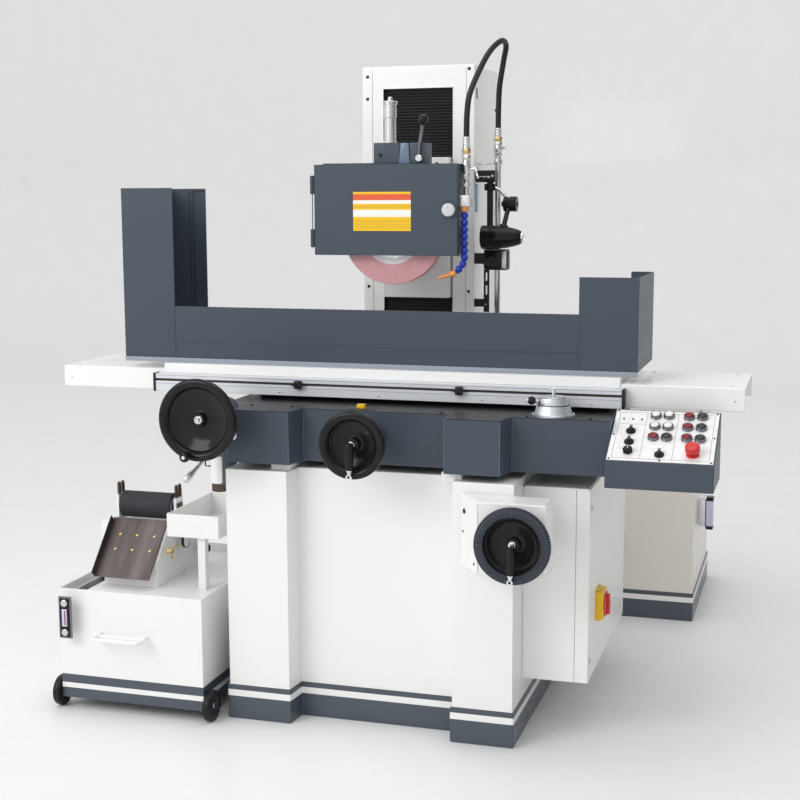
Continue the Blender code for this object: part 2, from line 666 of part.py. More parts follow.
def door_knob():
    place = (0.196, GUARD_FRONT - 0.0046, 1.518)
    body("door_knob", place, "guard_door")
    profile = [(0.0, 0.022), (0.016, 0.022), (0.020, 0.018), (0.020, 0.007), (0.012, 0.005),
               (0.012, 0.0), (0.0, 0.0)]
    node("door_knob", turned(profile, place, (0, -1, 0), 24), ALUMINIUM, "door_knob")


def spindle():
    """Spindle with the wheel hub: two flanges hold the grinding wheel between them."""
    front, rear = -WHEEL_FRONT, -WHEEL_REAR
    profile = [
        (0.0, 0.116), (0.021, 0.116), (0.021, 0.097), (0.085, 0.097), (0.085, front + GAP),
        (0.063, front + GAP), (0.063, rear - GAP), (0.085, rear - GAP), (0.085, 0.044),
        (0.030, 0.044), (0.030, -0.190), (0.0, -0.190)]
    node("spindle", turned(profile, (0, 0, SPINDLE_Z), (0, -1, 0), WHEEL_SIDES), STEEL, "spindle")
    ring = [(0.0633, front), (WHEEL_RADIUS - 0.002, front), (WHEEL_RADIUS, front - 0.002),
            (WHEEL_RADIUS, rear + 0.002), (WHEEL_RADIUS - 0.002, rear), (0.0633, rear)]
    node("grinding_wheel", turned(ring, (0, 0, SPINDLE_Z), (0, -1, 0), WHEEL_SIDES, closed=True), PINK,
         "spindle")


def dresser():
    x, y, top = DRESSER_X, DRESSER_Y, DRESSER_TOP
    shape = block((-0.051, -0.115, GUARD_HIGH + GAP), (0.114, -0.035, top), 0.002)
    join(shape, drum((x, y, top - 0.01), (x, y, 1.80), 0.0175))
    cut(shape, drum((x, y, GUARD_HIGH - 0.01), (x, y, 1.81), 0.0125, 16))
    node("dresser_body", shape, DARK, "head")
    body("dresser_quill", (x, y, top), "head")
    quill = [(0.0, 1.862), (0.006, 1.860), (0.006, 1.850), (0.020, 1.849), (0.020, 1.840), (0.0175, 1.839),
             (0.0175, 1.8155), (0.0105, 1.8155), (0.0105, 1.645), (0.004, 1.638), (0.0, 1.630)]
    node("dresser_quill", turned(quill, (x, y, 0), (0, 0, 1), 20), STEEL, "dresser_quill")
    pivot = (0.096, -0.1153, 1.673)
    body("dresser_lever", pivot, "head")
    lever = drum(pivot, (pivot[0], pivot[1] - 0.011, pivot[2]), 0.010, 16)
    knob = (0.110, -0.121, 1.790)
    join(lever, rod([(0.096, -0.121, 1.673), knob], 0.004), ball(knob, 0.009))
    node("dresser_lever", lever, STEEL, "dresser_lever")


def spray_assembly():
    """Spray valve and manifold beside the guard, with the jointed hose of snap-together balls."""
    x, y = SPRAY
    upper_y = -0.08
    shape = block((GUARD_RIGHT + GAP, y - 0.014, 1.526), (x + 0.017, y + 0.030, 1.562), 0.002)
    join(shape, drum((x, upper_y, 1.555), (x, upper_y, 1.737), 0.0085, 14),
         drum((x, upper_y, 1.598), (x, upper_y, 1.655), 0.0125, 12),
         drum((x, upper_y, 1.700), (x, upper_y, 1.730), 0.0125, 6))
    centres = [(x, 1.516 - 0.0225 * i) for i in range(7)]
    centres += [(0.2285, 1.3600), (0.2165, 1.3395)]
    points, scales = [(x, y, 1.530)], [0.62]
    for i, (ball_x, ball_z) in enumerate(centres):
        ahead = centres[min(i + 1, len(centres) - 1)]
        behind = centres[i] if i + 1 < len(centres) else centres[i - 1]
        step = Vector((ahead[0] - behind[0], 0, ahead[1] - behind[1])).normalized() * 0.0105
        centre = Vector((ball_x, y, ball_z))
        for share, scale in ((-0.75, 0.62), (-0.35, 1.0), (0.45, 1.0), (0.95, 0.62)):
            points.append(tuple(centre + step * share))
            scales.append(scale)
    join(shape, rod(points, 0.0115, 1, scales))
    node("spray_assembly", shape, BLACK, "head")
    pivot = (0.2035, y, 1.327)
    body("spray_nozzle", pivot, "head")
    nozzle = [(0.1985, y, 1.3245), (0.188, y, 1.3195), (0.172, y, 1.314), (0.150, y, 1.308)]
    node("spray_nozzle", rod(nozzle, 0.010, 2, (0.6, 1.0, 0.75, 0.35)), ORANGE, "spray_nozzle")


def coolant_pipe():
    """Riser pipe with its foot flange, wall brackets and shut-off valve."""
    x, y = RISER
    shape = drum((x, y, BASE_TOP + GAP), (x, y, RISER_TOP), 0.0105, 16)
    join(shape, drum((x, y, BASE_TOP + GAP), (x, y, BASE_TOP + 0.012), 0.030, 20),
         drum((x, y, 1.690), (x, y, 1.745), 0.0150, 12),
         drum((x, y, 1.752), (x, y, 1.770), 0.0150, 6),
         drum((x, y, 1.716), (x + 0.034, y - 0.006, 1.716), 0.005, 10))
    for height in (1.02, 1.66):
        join(shape, block((COVER_HALF + GAP, y - 0.012, height), (x + 0.016, y + 0.012, height + 0.018)))
    node("coolant_pipe", shape, STEEL, "base")


def coolant_hose():
    points = smooth_route(HOSE_ROUTE, 3)
    node("coolant_hose", rod([tuple(point) for point in points], HOSE_RADIUS), RUBBER, "base")


# ---------------------------------------------------------------- lamp

LAMP_POST = (0.243, 0.20)
LAMP_ELBOW = (0.311, 0.20, 1.534)


def lamp_bracket():
    """Slotted strip on the column's side, switch box, post and upper clamp."""
    x, y = LAMP_POST
    shape = block((0.222, 0.204, 1.183), (0.240, 0.210, 1.40))
    join(shape, block((COVER_HALF + GAP, 0.206, 1.20), (0.225, 0.228, 1.225)),
         block((COVER_HALF + GAP, 0.206, 1.34), (0.235, 0.228, 1.375)),
         block((0.227, 0.178, 1.322), (0.307, 0.215, 1.389), 0.004),
         drum((x, y, 1.38), (x, y, 1.61), 0.010, 16),
         block((0.197, 0.184, 1.604), (0.262, 0.2365, 1.642), 0.003))
    cut(shape, block((0.228, 0.19, 1.24), (0.234, 0.22, 1.27)), block((0.228, 0.19, 1.285), (0.234, 0.22, 1.312)))
    node("lamp_bracket", shape, BLACK, "base")


def lamp():
    x, y = LAMP_POST
    height = LAMP_ELBOW[2]
    body("lamp_arm", (x, y, height), "base")
    collar = [(0.0105, 0.014), (0.017, 0.014), (0.017, -0.014), (0.0105, -0.014)]
    shape = turned(collar, (x, y, height), (0, 0, 1), 16, closed=True)
    join(shape, drum((x + 0.014, y, height), (LAMP_ELBOW[0] - 0.010, y, height), 0.006, 12),
         drum((LAMP_ELBOW[0] - 0.012, y, height), (LAMP_ELBOW[0] - GAP, y, height), 0.013, 16))
    node("lamp_arm", shape, STEEL, "lamp_arm")
    body("lamp_head", LAMP_ELBOW, "lamp_arm")
    ex, ey, ez = LAMP_ELBOW
    stem = drum((ex + GAP, ey, ez), (ex + 0.014, ey, ez), 0.013, 16)
    profile = [(0.0, 0.068), (0.034, 0.068), (0.037, 0.064), (0.034, 0.020), (0.029, -0.040),
               (0.020, -0.052), (0.019, -0.073), (0.0, -0.073)]
    join(stem, rod([(ex + 0.007, ey, ez), (ex + 0.006, 0.165, 1.480), (ex + 0.002, 0.135, 1.440)], 0.006),
         turned(profile, (0.301, 0.13, 1.427), (-1, 0, 0), 24))
    node("lamp_head", stem, BLACK, "lamp_head")


# ---------------------------------------------------------------- coolant unit


def coolant_tank():
    """Wheeled tank: skirt open below, floor, deck below the rim and an access opening at the left."""
    t = SHEET
    left, right = TANK_LEFT + t, TANK_RIGHT - t
    front, rear = TANK_FRONT + t, TANK_REAR - t
    shape = block((TANK_LEFT, TANK_FRONT, TANK_LOW), (TANK_RIGHT, TANK_REAR, TANK_RIM))
    cut(shape, block((left, front, TANK_DECK), (right, rear, TANK_RIM + 0.01)),
        block((left, front, 0.100), (right, rear, TANK_DECK - t)),
        block((left, front, TANK_LOW - 0.01), (right, rear, 0.097)),
        block((-0.905, -0.57, TANK_DECK - 0.02), (-0.868, -0.35, TANK_DECK + 0.01)))
    for y in (CASTER_FRONT_Y, CASTER_REAR_Y):
        axle_hole = drum((TANK_LEFT - 0.01, y, CASTER_RADIUS), (TANK_RIGHT + 0.01, y, CASTER_RADIUS), 0.0095, 16)
        cut(shape, axle_hole)
    join(shape, rod([(-0.774, TANK_FRONT + 0.001, 0.247), (-0.770, TANK_FRONT - 0.028, 0.247),
                     (-0.622, TANK_FRONT - 0.028, 0.247), (-0.618, TANK_FRONT + 0.001, 0.247)], 0.006))
    node("coolant_tank", shape, WHITE, "coolant_unit")


def wheel_pairs():
    for name, y in (("front_wheels", CASTER_FRONT_Y), ("rear_wheels", CASTER_REAR_Y)):
        left, right = TANK_LEFT - 0.003, TANK_RIGHT + 0.003
        body(name, ((left + right) / 2, y, CASTER_RADIUS), "coolant_unit")
        shape = drum((left - 0.02, y, CASTER_RADIUS), (right + 0.02, y, CASTER_RADIUS), 0.008, 12)
        r, w = CASTER_RADIUS, CASTER_WIDTH
        tyre = [(0.0, w * 0.3), (0.034, w * 0.3), (0.038, w * 0.5), (r - 0.002, w * 0.5),
                (r, w * 0.25), (r, -w * 0.5), (0.0, -w * 0.5)]
        join(shape, turned(tyre, (left - w / 2, y, r), (-1, 0, 0), 24),
             turned(tyre, (right + w / 2, y, r), (1, 0, 0), 24))
        node(name, shape, RUBBER, name)


def separator():
    """Magnetic separator: housing with an inlet box, roller brackets and spring posts."""
    low = TANK_DECK + GAP
    side = [(-0.43, low), (-0.10, low), (-0.10, 0.535), (-0.337, 0.535), (-0.43, 0.4326)]
    shape = plate(side, "YZ", -0.85, -0.665)
    join(shape, block((-0.90, -0.270, low), (-0.847, -0.12, 0.49)))
    cut(shape, block((-0.895, -0.265, 0.40), (-0.860, -0.125, 0.51)))
    for x in (-0.852, -0.651):
        join(shape, block((x - 0.004, -0.325, 0.495), (x + 0.004, -0.275, 0.615)),
             rod([(x, -0.312, 0.60), (x, -0.312, 0.655)], 0.0032),
             rod([(x, -0.288, 0.60), (x, -0.288, 0.655)], 0.0032))
    join(shape, block((-0.67, -0.322, 0.50), (-0.650, -0.278, 0.53)))
    node("separator_body", shape, WHITE, "coolant_unit")
    body("separator_drum", (-0.75, ROLLER_Y, ROLLER_Z), "coolant_unit")
    r = ROLLER_RADIUS
    roller = [(0.0, 0.0925), (0.010, 0.0925), (0.010, 0.089), (r - 0.003, 0.089), (r, 0.086), (r, -0.086),
              (r - 0.003, -0.089), (0.010, -0.089), (0.010, -0.0925), (0.0, -0.0925)]
    node("separator_drum", turned(roller, (-0.7515, ROLLER_Y, ROLLER_Z), (1, 0, 0), 32), RUBBER, "separator_drum")
    chute = [(-0.333, 0.5445), (-0.475, 0.388), (-0.4728, 0.386), (-0.3308, 0.5425)]
    shape = plate(chute, "YZ", -0.862, -0.672)
    node("chip_chute", shape, BROWN, "coolant_unit")


def drip_tray():
    t = SHEET
    shape = block((-0.628, -0.43, 0.52), (-0.455, -0.10, 0.592))
    cut(shape, block((-0.628 + t, -0.43 + t, 0.52 + t), (-0.455 - t, -0.10 - t, 0.60)))
    join(shape, block((-0.535, -0.41, TANK_DECK + GAP), (-0.510, -0.385, 0.522)))
    node("drip_tray", shape, WHITE, "coolant_unit")


# ---------------------------------------------------------------- assembly

body("base")
body("saddle", (0, SADDLE_FRONT, WAY_TOP), "base")
body("table", (0, TABLE_FRONT, TABLE_LOW), "saddle")
body("head", (0, COVER_FRONT, SPINDLE_Z), "base")
body("spindle", (0, WHEEL_FRONT, SPINDLE_Z), "head")
body("guard_door", (*DOOR_HINGE, SPINDLE_Z), "head")
body("speed_lever", (*VALVE, SADDLE_TOP), "saddle")
body("cabinet_door", (CABINET_DOOR_FACE, CABINET_REAR, CABINET_LOW), "base")
body("main_switch", (CABINET_DOOR_FACE, *SWITCH), "cabinet_door")
body("coolant_unit", (-0.675, TANK_FRONT, TANK_LOW), "base")

base_casting()
column_casting()
column_cover()
bellows("upper_bellows", CARRIAGE_HIGH + 0.0008, COLUMN_TOP - 0.049)
bellows("lower_bellows", 0.80, CARRIAGE_LOW - 0.0008)
hydraulic_tank()
electric_cabinet()
cabinet_door()
main_switch()
handwheel_box()
saddle_casting()
saddle_apron()
speed_valve()
speed_lever()
control_box()
controls()
table_casting()
magnetic_chuck()
end_cover("left_cover", TABLE_LEFT - GAP, -1.06)
end_cover("right_cover", TABLE_RIGHT + GAP, 1.09)
dog_rail()
trip_dogs()
splash_guard()
handwheels()
direction_lever()
spindle_head()
wheel_guard()
guard_door()
door_knob()
spindle()
dresser()
spray_assembly()
coolant_pipe()
coolant_hose()
lamp_bracket()
lamp()
coolant_tank()
wheel_pairs()
separator()
drip_tray()
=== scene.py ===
"""Looks of a surface grinder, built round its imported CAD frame. Metres, in the CAD's own frame:
+X right, +Y to the rear, +Z up, the origin on the floor under the middle of the column.
The profiles of turned forms are pairs of radius and height in millimetres."""

import json
import math
from itertools import product

import bmesh
import bpy
from mathutils import Matrix, Vector


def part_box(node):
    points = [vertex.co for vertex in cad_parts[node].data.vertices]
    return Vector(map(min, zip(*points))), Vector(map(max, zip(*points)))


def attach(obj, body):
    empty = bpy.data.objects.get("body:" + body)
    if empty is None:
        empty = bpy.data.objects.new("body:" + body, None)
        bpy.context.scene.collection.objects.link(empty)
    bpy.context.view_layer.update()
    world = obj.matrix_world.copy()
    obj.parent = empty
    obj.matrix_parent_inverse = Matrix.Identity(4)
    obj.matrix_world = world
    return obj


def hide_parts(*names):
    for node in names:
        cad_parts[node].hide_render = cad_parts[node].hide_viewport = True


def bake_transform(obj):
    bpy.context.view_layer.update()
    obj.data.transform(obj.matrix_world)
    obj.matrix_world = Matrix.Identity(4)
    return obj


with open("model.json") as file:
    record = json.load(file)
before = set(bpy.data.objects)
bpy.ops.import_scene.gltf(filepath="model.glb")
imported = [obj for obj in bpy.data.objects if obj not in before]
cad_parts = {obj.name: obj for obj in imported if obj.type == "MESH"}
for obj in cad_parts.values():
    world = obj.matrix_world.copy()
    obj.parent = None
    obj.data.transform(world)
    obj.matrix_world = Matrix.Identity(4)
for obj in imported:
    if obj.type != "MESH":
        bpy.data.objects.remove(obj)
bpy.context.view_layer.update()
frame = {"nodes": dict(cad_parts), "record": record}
RECORD = frame["record"]
SLOTS = {row["slot"]: row for row in RECORD["materials"]}

# camera
CAMERA_PLACE = (1.29, -4.25, 1.55)
CAMERA_YAW, CAMERA_PITCH, CAMERA_ROLL = (math.radians(angle) for angle in (16.93, 8.19, -0.198))
CAMERA_LENS, CAMERA_SENSOR = 62.73, 36.0

# coolant hose: the route of its CAD solid
HOSE_RADIUS = 0.009
HOSE_ROUTE = [
    (0.257, 0.25, 1.7785), (0.257, 0.25, 1.815), (0.26, 0.25, 1.905), (0.274, 0.246, 1.99),
    (0.287, 0.222, 2.036), (0.281, 0.175, 2.045), (0.258, 0.11, 2.004), (0.238, 0.03, 1.925),
    (0.231, -0.034, 1.862), (0.233, -0.069, 1.805), (0.2345, -0.08, 1.765), (0.2345, -0.08, 1.7375),
]

# driving places, shared with the CAD
MM = 0.001
SPINDLE_Z = 1.45
DESK_EDGE_Y, DESK_EDGE_Z = -0.55, 0.85
DESK_SLOPE = math.atan2(0.105, 0.2)
DESK_PLATE = 0.002
STRIPE_LOW, STRIPE_HIGH, PLINTH_TOP = 0.07, 0.086, 0.105
X, Y, Z = Vector((1, 0, 0)), Vector((0, 1, 0)), Vector((0, 0, 1))
AXES_X = Matrix(((0, 0, 1, 0), (1, 0, 0, 0), (0, 1, 0, 0), (0, 0, 0, 1)))  # local X, Y, Z on Y, Z, X
AXES_FRONT = Matrix(((1, 0, 0, 0), (0, 0, -1, 0), (0, 1, 0, 0), (0, 0, 0, 1)))  # local X, Y, Z on X, Z, -Y

# ---------------------------------------------------------------- camera, light and floor


def make_camera():
    data = bpy.data.cameras.new("camera")
    data.lens = CAMERA_LENS
    data.sensor_width = CAMERA_SENSOR
    camera = bpy.data.objects.new("camera", data)
    bpy.context.scene.collection.objects.link(camera)
    turn = (Matrix.Rotation(CAMERA_YAW, 4, "Z") @ Matrix.Rotation(math.pi / 2 - CAMERA_PITCH, 4, "X")
            @ Matrix.Rotation(CAMERA_ROLL, 4, "Z"))
    camera.matrix_world = Matrix.Translation(CAMERA_PLACE) @ turn
    bpy.context.scene.camera = camera


def area_light(name, place, target, size, power):
    data = bpy.data.lights.new(name, "AREA")
    data.shape = "RECTANGLE"
    data.size, data.size_y = size
    data.energy = power
    light = bpy.data.objects.new(name, data)
    bpy.context.scene.collection.objects.link(light)
    light.location = place
    light.rotation_euler = (Vector(place) - Vector(target)).to_track_quat("Z", "Y").to_euler()


def make_light():
    """A white room that is brighter at the front and left, with a soft key light and a top light."""
    world = bpy.data.worlds.new("studio")
    bpy.context.scene.world = world
    world.use_nodes = True
    tree = world.node_tree
    background = tree.nodes["Background"]
    direction = tree.nodes.new("ShaderNodeTexCoord")
    split = tree.nodes.new("ShaderNodeSeparateXYZ")
    ramp = tree.nodes.new("ShaderNodeMapRange")
    ramp.inputs["From Min"].default_value = 0.05
    ramp.inputs["From Max"].default_value = 0.95
    ramp.inputs["To Min"].default_value = 1.0
    ramp.inputs["To Max"].default_value = 0.34
    tree.links.new(direction.outputs["Generated"], split.inputs[0])
    tree.links.new(split.outputs["X"], ramp.inputs["Value"])
    tree.links.new(ramp.outputs["Result"], background.inputs["Strength"])
    background.inputs["Color"].default_value = (1.0, 1.0, 1.0, 1.0)
    area_light("key", (-2.6, -4.2, 3.4), (0.0, 0.0, 0.9), (2.6, 2.0), 75)
    area_light("top", (0.4, -0.6, 4.6), (0.0, 0.2, 0.8), (2.6, 2.6), 26)
    bpy.context.scene.view_settings.view_transform = "Standard"


# ---------------------------------------------------------------- materials


class Look:
    """A Principled material and the procedural nodes that drive it, all in the piece's own coordinates."""

    def __init__(self, name, color, roughness, metallic=0.0, **sockets):
        self.material = bpy.data.materials.new(name)
        self.material.use_nodes = True
        self.tree = self.material.node_tree
        self.shader = self.tree.nodes["Principled BSDF"]
        self.color = color
        self.roughness = roughness
        self.shader.inputs["Metallic"].default_value = metallic
        for socket, value in sockets.items():
            self.shader.inputs[socket.replace("_", " ")].default_value = value
        self.point = self.node("TexCoord").outputs["Object"]

    def node(self, kind, **settings):
        made = self.tree.nodes.new("ShaderNode" + kind)
        for key, value in settings.items():
            setattr(made, key, value)
        return made

    def link(self, source, target):
        self.tree.links.new(source, target)

    def stretched(self, scale):
        mapping = self.node("Mapping")
        mapping.inputs["Scale"].default_value = scale
        self.link(self.point, mapping.inputs["Vector"])
        return mapping.outputs["Vector"]

    def noise(self, scale, detail=3.0, stretch=None):
        made = self.node("TexNoise")
        made.inputs["Scale"].default_value = scale
        made.inputs["Detail"].default_value = detail
        self.link(self.stretched(stretch) if stretch else self.point, made.inputs["Vector"])
        return made.outputs["Fac"]

    def cells(self, scale):
        made = self.node("TexVoronoi")
        made.inputs["Scale"].default_value = scale
        self.link(self.point, made.inputs["Vector"])
        return made.outputs["Distance"]

    def spread(self, value, low, high, start=0.3, end=0.7):
        """Maps a pattern's middle range to low..high."""
        made = self.node("MapRange")
        for socket, number in (("From Min", start), ("From Max", end), ("To Min", low), ("To Max", high)):
            made.inputs[socket].default_value = number
        self.link(value, made.inputs["Value"])
        return made.outputs["Result"]

    def along(self, axis):
        split = self.node("SeparateXYZ")
        self.link(self.point, split.inputs[0])
        return split.outputs[axis]

    def bands(self, value, low, high, stops):
        """Colours by a value from low to high, changing sharply at each (value, colour)."""
        made = self.node("ValToRGB")
        made.color_ramp.interpolation = "CONSTANT"
        ramp = made.color_ramp.elements
        for index, (place, color) in enumerate(stops):
            share = (place - low) / (high - low)
            element = ramp[index] if index < 2 else ramp.new(share)
            element.position = share
            element.color = (*color, 1.0)
        self.link(self.spread(value, 0.0, 1.0, low, high), made.inputs["Fac"])
        return made.outputs["Color"]

    def mix(self, share, first, second, blend="MIX"):
        made = self.node("Mix", data_type="RGBA", blend_type=blend)
        factor, a, b = made.inputs["Factor"], made.inputs[6], made.inputs[7]
        for value, socket in ((share, factor), (first, a), (second, b)):
            if isinstance(value, bpy.types.NodeSocket):
                self.link(value, socket)
            elif isinstance(value, tuple):
                socket.default_value = (*value, 1.0)
            else:
                socket.default_value = value
        return made.outputs[2]

    def tinted(self, pattern, amount, base=None):
        """The base colour, darker and lighter by an amount as the pattern says."""
        dark, light = (tuple(channel * (1 + sign * amount) for channel in self.color) for sign in (-1, 1))
        if base is None:
            self.link(self.mix(pattern, dark, light), self.shader.inputs["Base Color"])
        else:
            shade = self.mix(pattern, (1 - amount,) * 3, (1.0,) * 3)
            self.link(self.mix(1.0, base, shade, "MULTIPLY"), self.shader.inputs["Base Color"])
        return self

    def rough(self, pattern, amount):
        self.link(self.spread(pattern, self.roughness - amount, self.roughness + amount),
                  self.shader.inputs["Roughness"])
        return self

    def bump(self, height, depth, strength=1.0):
        made = self.node("Bump")
        made.inputs["Distance"].default_value = depth
        made.inputs["Strength"].default_value = strength
        self.link(height, made.inputs["Height"])
        if self.shader.inputs["Normal"].is_linked:
            self.link(self.shader.inputs["Normal"].links[0].from_socket, made.inputs["Normal"])
        self.link(made.outputs["Normal"], self.shader.inputs["Normal"])
        return self


def paint(name, color, roughness=0.36, coat=0.25, specular=0.5, stripes=None):
    """Sprayed machine enamel: fine orange peel, faint clouding and dust, with plinth stripes if given."""
    look = Look(name, color, roughness, Coat_Weight=coat, Coat_Roughness=0.12, Specular_IOR_Level=specular)
    base = look.bands(look.along("Z"), 0.0, 1.0, stripes) if stripes else None
    look.tinted(look.noise(5.0, 4.0), 0.035, base)
    look.rough(look.noise(38.0, 3.0), 0.05)
    return look.bump(look.noise(420.0, 2.0), 0.00035, 0.5)


def plastic(name, color, roughness, specular=0.5):
    look = Look(name, color, roughness, Specular_IOR_Level=specular)
    look.tinted(look.noise(30.0, 3.0), 0.12).rough(look.noise(60.0, 4.0), min(0.05, roughness * 0.4))
    return look.bump(look.noise(900.0, 2.0), 0.00012, 0.6)


def metal(name, color, roughness, stretch=(1.0, 1.0, 1.0), depth=0.00006, metallic=1.0):
    """Machined metal: fine tool marks drawn out by the stretch."""
    look = Look(name, color, roughness, metallic)
    marks = look.noise(380.0, 4.0, stretch)
    look.tinted(marks, 0.1).rough(look.noise(90.0, 4.0, stretch), roughness * 0.35)
    return look.bump(marks, depth, 0.6)


def abrasive(name, color):
    """Bonded grit: cells of lighter and darker grain with open pores between them."""
    look = Look(name, color, 0.92)
    grain = look.spread(look.cells(420.0), 0.0, 1.0, 0.0, 0.8)
    cloud = look.noise(22.0, 5.0)
    shade = look.mix(cloud, (0.78, 0.8, 0.8), (1.0, 1.0, 1.0))
    look.tinted(grain, 0.13)
    body = look.shader.inputs["Base Color"].links[0].from_socket
    look.link(look.mix(1.0, body, shade, "MULTIPLY"), look.shader.inputs["Base Color"])
    look.rough(cloud, 0.05)
    return look.bump(grain, 0.0006, 0.8)


def rubber(name, color, roughness=0.7, stretch=(1.0, 1.0, 1.0)):
    look = Look(name, color, roughness, Specular_IOR_Level=0.25)
    look.tinted(look.noise(60.0, 5.0, stretch), 0.3).rough(look.noise(140.0, 3.0, stretch), 0.08)
    return look.bump(look.noise(700.0, 3.0), 0.0002, 0.7)


def cloth(name, color):
    """Coated cloth: two crossed weaves pressed into a dull coating."""
    look = Look(name, color, 0.72, Sheen_Weight=0.15)
    look.tinted(look.noise(45.0, 4.0), 0.35).rough(look.noise(80.0, 3.0), 0.08)
    for turn in ((1.0, 0.05, 0.05), (0.05, 1.0, 1.0)):
        look.bump(look.noise(1500.0, 1.0, turn), 0.00015, 0.5)
    return look


def hammered(name, color):
    """Brown-grey chute paint: streaks down the slope over a fine hammer finish."""
    look = Look(name, color, 0.36, 0.55)
    streaks = look.noise(16.0, 6.0, (1.0, 0.12, 0.12))
    look.tinted(look.spread(streaks, 0.0, 1.0, 0.35, 0.65), 0.45)
    look.rough(look.noise(30.0, 4.0, (1.0, 0.2, 0.2)), 0.12)
    return look.bump(look.cells(260.0), 0.0003, 0.5)


def chuck_top(name, color):
    """Ground pole plate: brass-dark pole lines across a steel face."""
    look = Look(name, color, 0.3, 0.9)
    lines = look.node("TexWave", wave_type="BANDS", bands_direction="X")
    lines.inputs["Scale"].default_value = 32.0
    look.link(look.point, lines.inputs["Vector"])
    pole = look.spread(lines.outputs["Fac"], 0.0, 1.0, 0.86, 0.92)
    base = look.mix(pole, color, (0.42, 0.33, 0.18))
    look.tinted(look.noise(300.0, 3.0, (0.05, 1.0, 1.0)), 0.2, base)
    return look.rough(look.noise(70.0, 4.0, (0.1, 1.0, 1.0)), 0.08)


def label(name, yellow):
    """Plain notice plate: a coloured head band and pale fields, with no lettering."""
    orange, white, ochre = (0.8, 0.11, 0.03), (0.93, 0.93, 0.88), (0.66, 0.36, 0.01)
    look = Look(name, yellow, 0.35)
    stops = [(1.4, yellow)]
    for line in (1.461, 1.467, 1.473, 1.479, 1.485):
        stops += [(line, ochre), (line + 0.0016, yellow)]
    stops += [(1.4965, white), (1.518, yellow), (1.525, ochre), (1.5266, yellow), (1.531, ochre),
              (1.5326, yellow), (1.5365, white), (1.547, orange), (1.566, yellow)]
    bands = look.bands(look.along("Z"), 1.4, 1.6, stops)
    look.tinted(look.noise(60.0, 3.0), 0.06, bands).rough(look.noise(90.0), 0.05)
    return look.bump(look.noise(500.0), 0.0001, 0.4)


def slot_color(slot):
    return tuple(SLOTS[slot]["base_color"][:3])


def make_looks():
    """Every material by name. One without a colour here has the colour of its slot in the record."""
    white, dark, cream = (slot_color(name) for name in ("white_paint", "blue_grey_paint", "cream_paint"))
    plinth = [(0.0, dark), (STRIPE_LOW, white), (STRIPE_HIGH, dark)]
    tank = [(0.0, dark), (0.066, white), (0.081, dark), (0.106, white)]
    rows = [
        (paint, "white_paint", None), (paint, "cream_paint", None),
        (paint, "blue_grey_paint", None, 0.42, 0.06, 0.26),
        (paint, "base_paint", white, 0.36, 0.25, 0.5, plinth + [(PLINTH_TOP, white)]),
        (paint, "hydraulic_paint", cream, 0.36, 0.25, 0.5, plinth + [(PLINTH_TOP, cream)]),
        (paint, "tank_paint", white, 0.36, 0.25, 0.5, tank),
        # The pale line paint below serves seams, lines and printed marks, and also painted highlights on the
        # splash guard's lip and the chute's bend.
        (paint, "floor", (0.86, 0.86, 0.86), 0.55), (paint, "pale_edge", (0.3, 0.34, 0.4), 0.34),
        # The pale blue below is the blue-grey paint made lighter: painted highlight on the apron's corner
        # edges and the dresser web.
        (paint, "pale_blue", (0.11, 0.17, 0.26), 0.36), (paint, "groove", (0.012, 0.015, 0.02), 0.6),
        (plastic, "black_plastic", None, 0.12, 0.22), (plastic, "black_matte", None, 0.34, 0.25),
        (plastic, "rim_plastic", (0.03, 0.036, 0.047), 0.45, 0.3), (plastic, "hose_blue", None, 0.2),
        (plastic, "nozzle_orange", (0.83, 0.33, 0.1), 0.32), (plastic, "switch_red", None, 0.2),
        (plastic, "switch_yellow", (0.86, 0.54, 0.0), 0.28), (plastic, "button_white", None, 0.22),
        (plastic, "button_red", (0.22, 0.008, 0.012), 0.18, 0.35),
        (plastic, "button_dark", (0.008, 0.013, 0.009), 0.22), (plastic, "knob_grey", None, 0.3),
        # The ink below serves print, joints and pins, and also painted shade: flat dark marks for slots,
        # vents, a finger pull and a slot floor, where the dark is shade.
        (plastic, "plate_white", (0.86, 0.85, 0.86), 0.3), (plastic, "ink", (0.03, 0.025, 0.03), 0.5),
        (plastic, "strip_blue", (0.03, 0.22, 0.42), 0.3), (plastic, "pale_lens", (0.62, 0.6, 0.78), 0.16),
        (rubber, "hose_rubber", None, 0.42), (rubber, "caster_tyre", None, 0.38),
        (rubber, "roller_rubber", (0.035, 0.037, 0.042), 0.62, (0.15, 1.0, 1.0)),
        (metal, "bright_steel", None, 0.26), (metal, "chrome_plate", None, 0.07, (1.0, 1.0, 1.0), 0.00001),
        (metal, "drawn_steel", (0.66, 0.66, 0.67), 0.24, (1.0, 1.0, 0.05)),
        (metal, "satin_aluminium", (0.66, 0.68, 0.71), 0.34), (metal, "brass", (0.62, 0.44, 0.2), 0.24),
        (metal, "rail_aluminium", None, 0.46, (0.04, 1.0, 1.0), 0.00006, 0.15),
        # The dark chrome below is chrome with its colour darkened: a painted dark reflection on the button
        # bezels, the dresser lever rod and the gauge frame.
        (metal, "dark_chrome", (0.2, 0.2, 0.22), 0.1, (1.0, 1.0, 1.0), 0.00001),
        (metal, "dark_steel", (0.11, 0.085, 0.07), 0.42),
        (cloth, "bellows_cloth", None), (chuck_top, "cast_grey", None), (abrasive, "wheel_abrasive", None),
        (hammered, "chute_paint", None), (label, "label_print", (0.92, 0.57, 0.0)),
    ]
    return {name: make(name, color or slot_color(name), *settings).material
            for make, name, color, *settings in rows}


# ---------------------------------------------------------------- mesh tools


def polar(radius, degrees):
    turn = math.radians(degrees)
    return radius * math.cos(turn), radius * math.sin(turn)


def arc(width, height, degrees, centre=(0, 0)):
    """Points on an ellipse, for profiles."""
    return [(centre[0] + polar(width, d)[0], centre[1] + polar(height, d)[1]) for d in degrees]


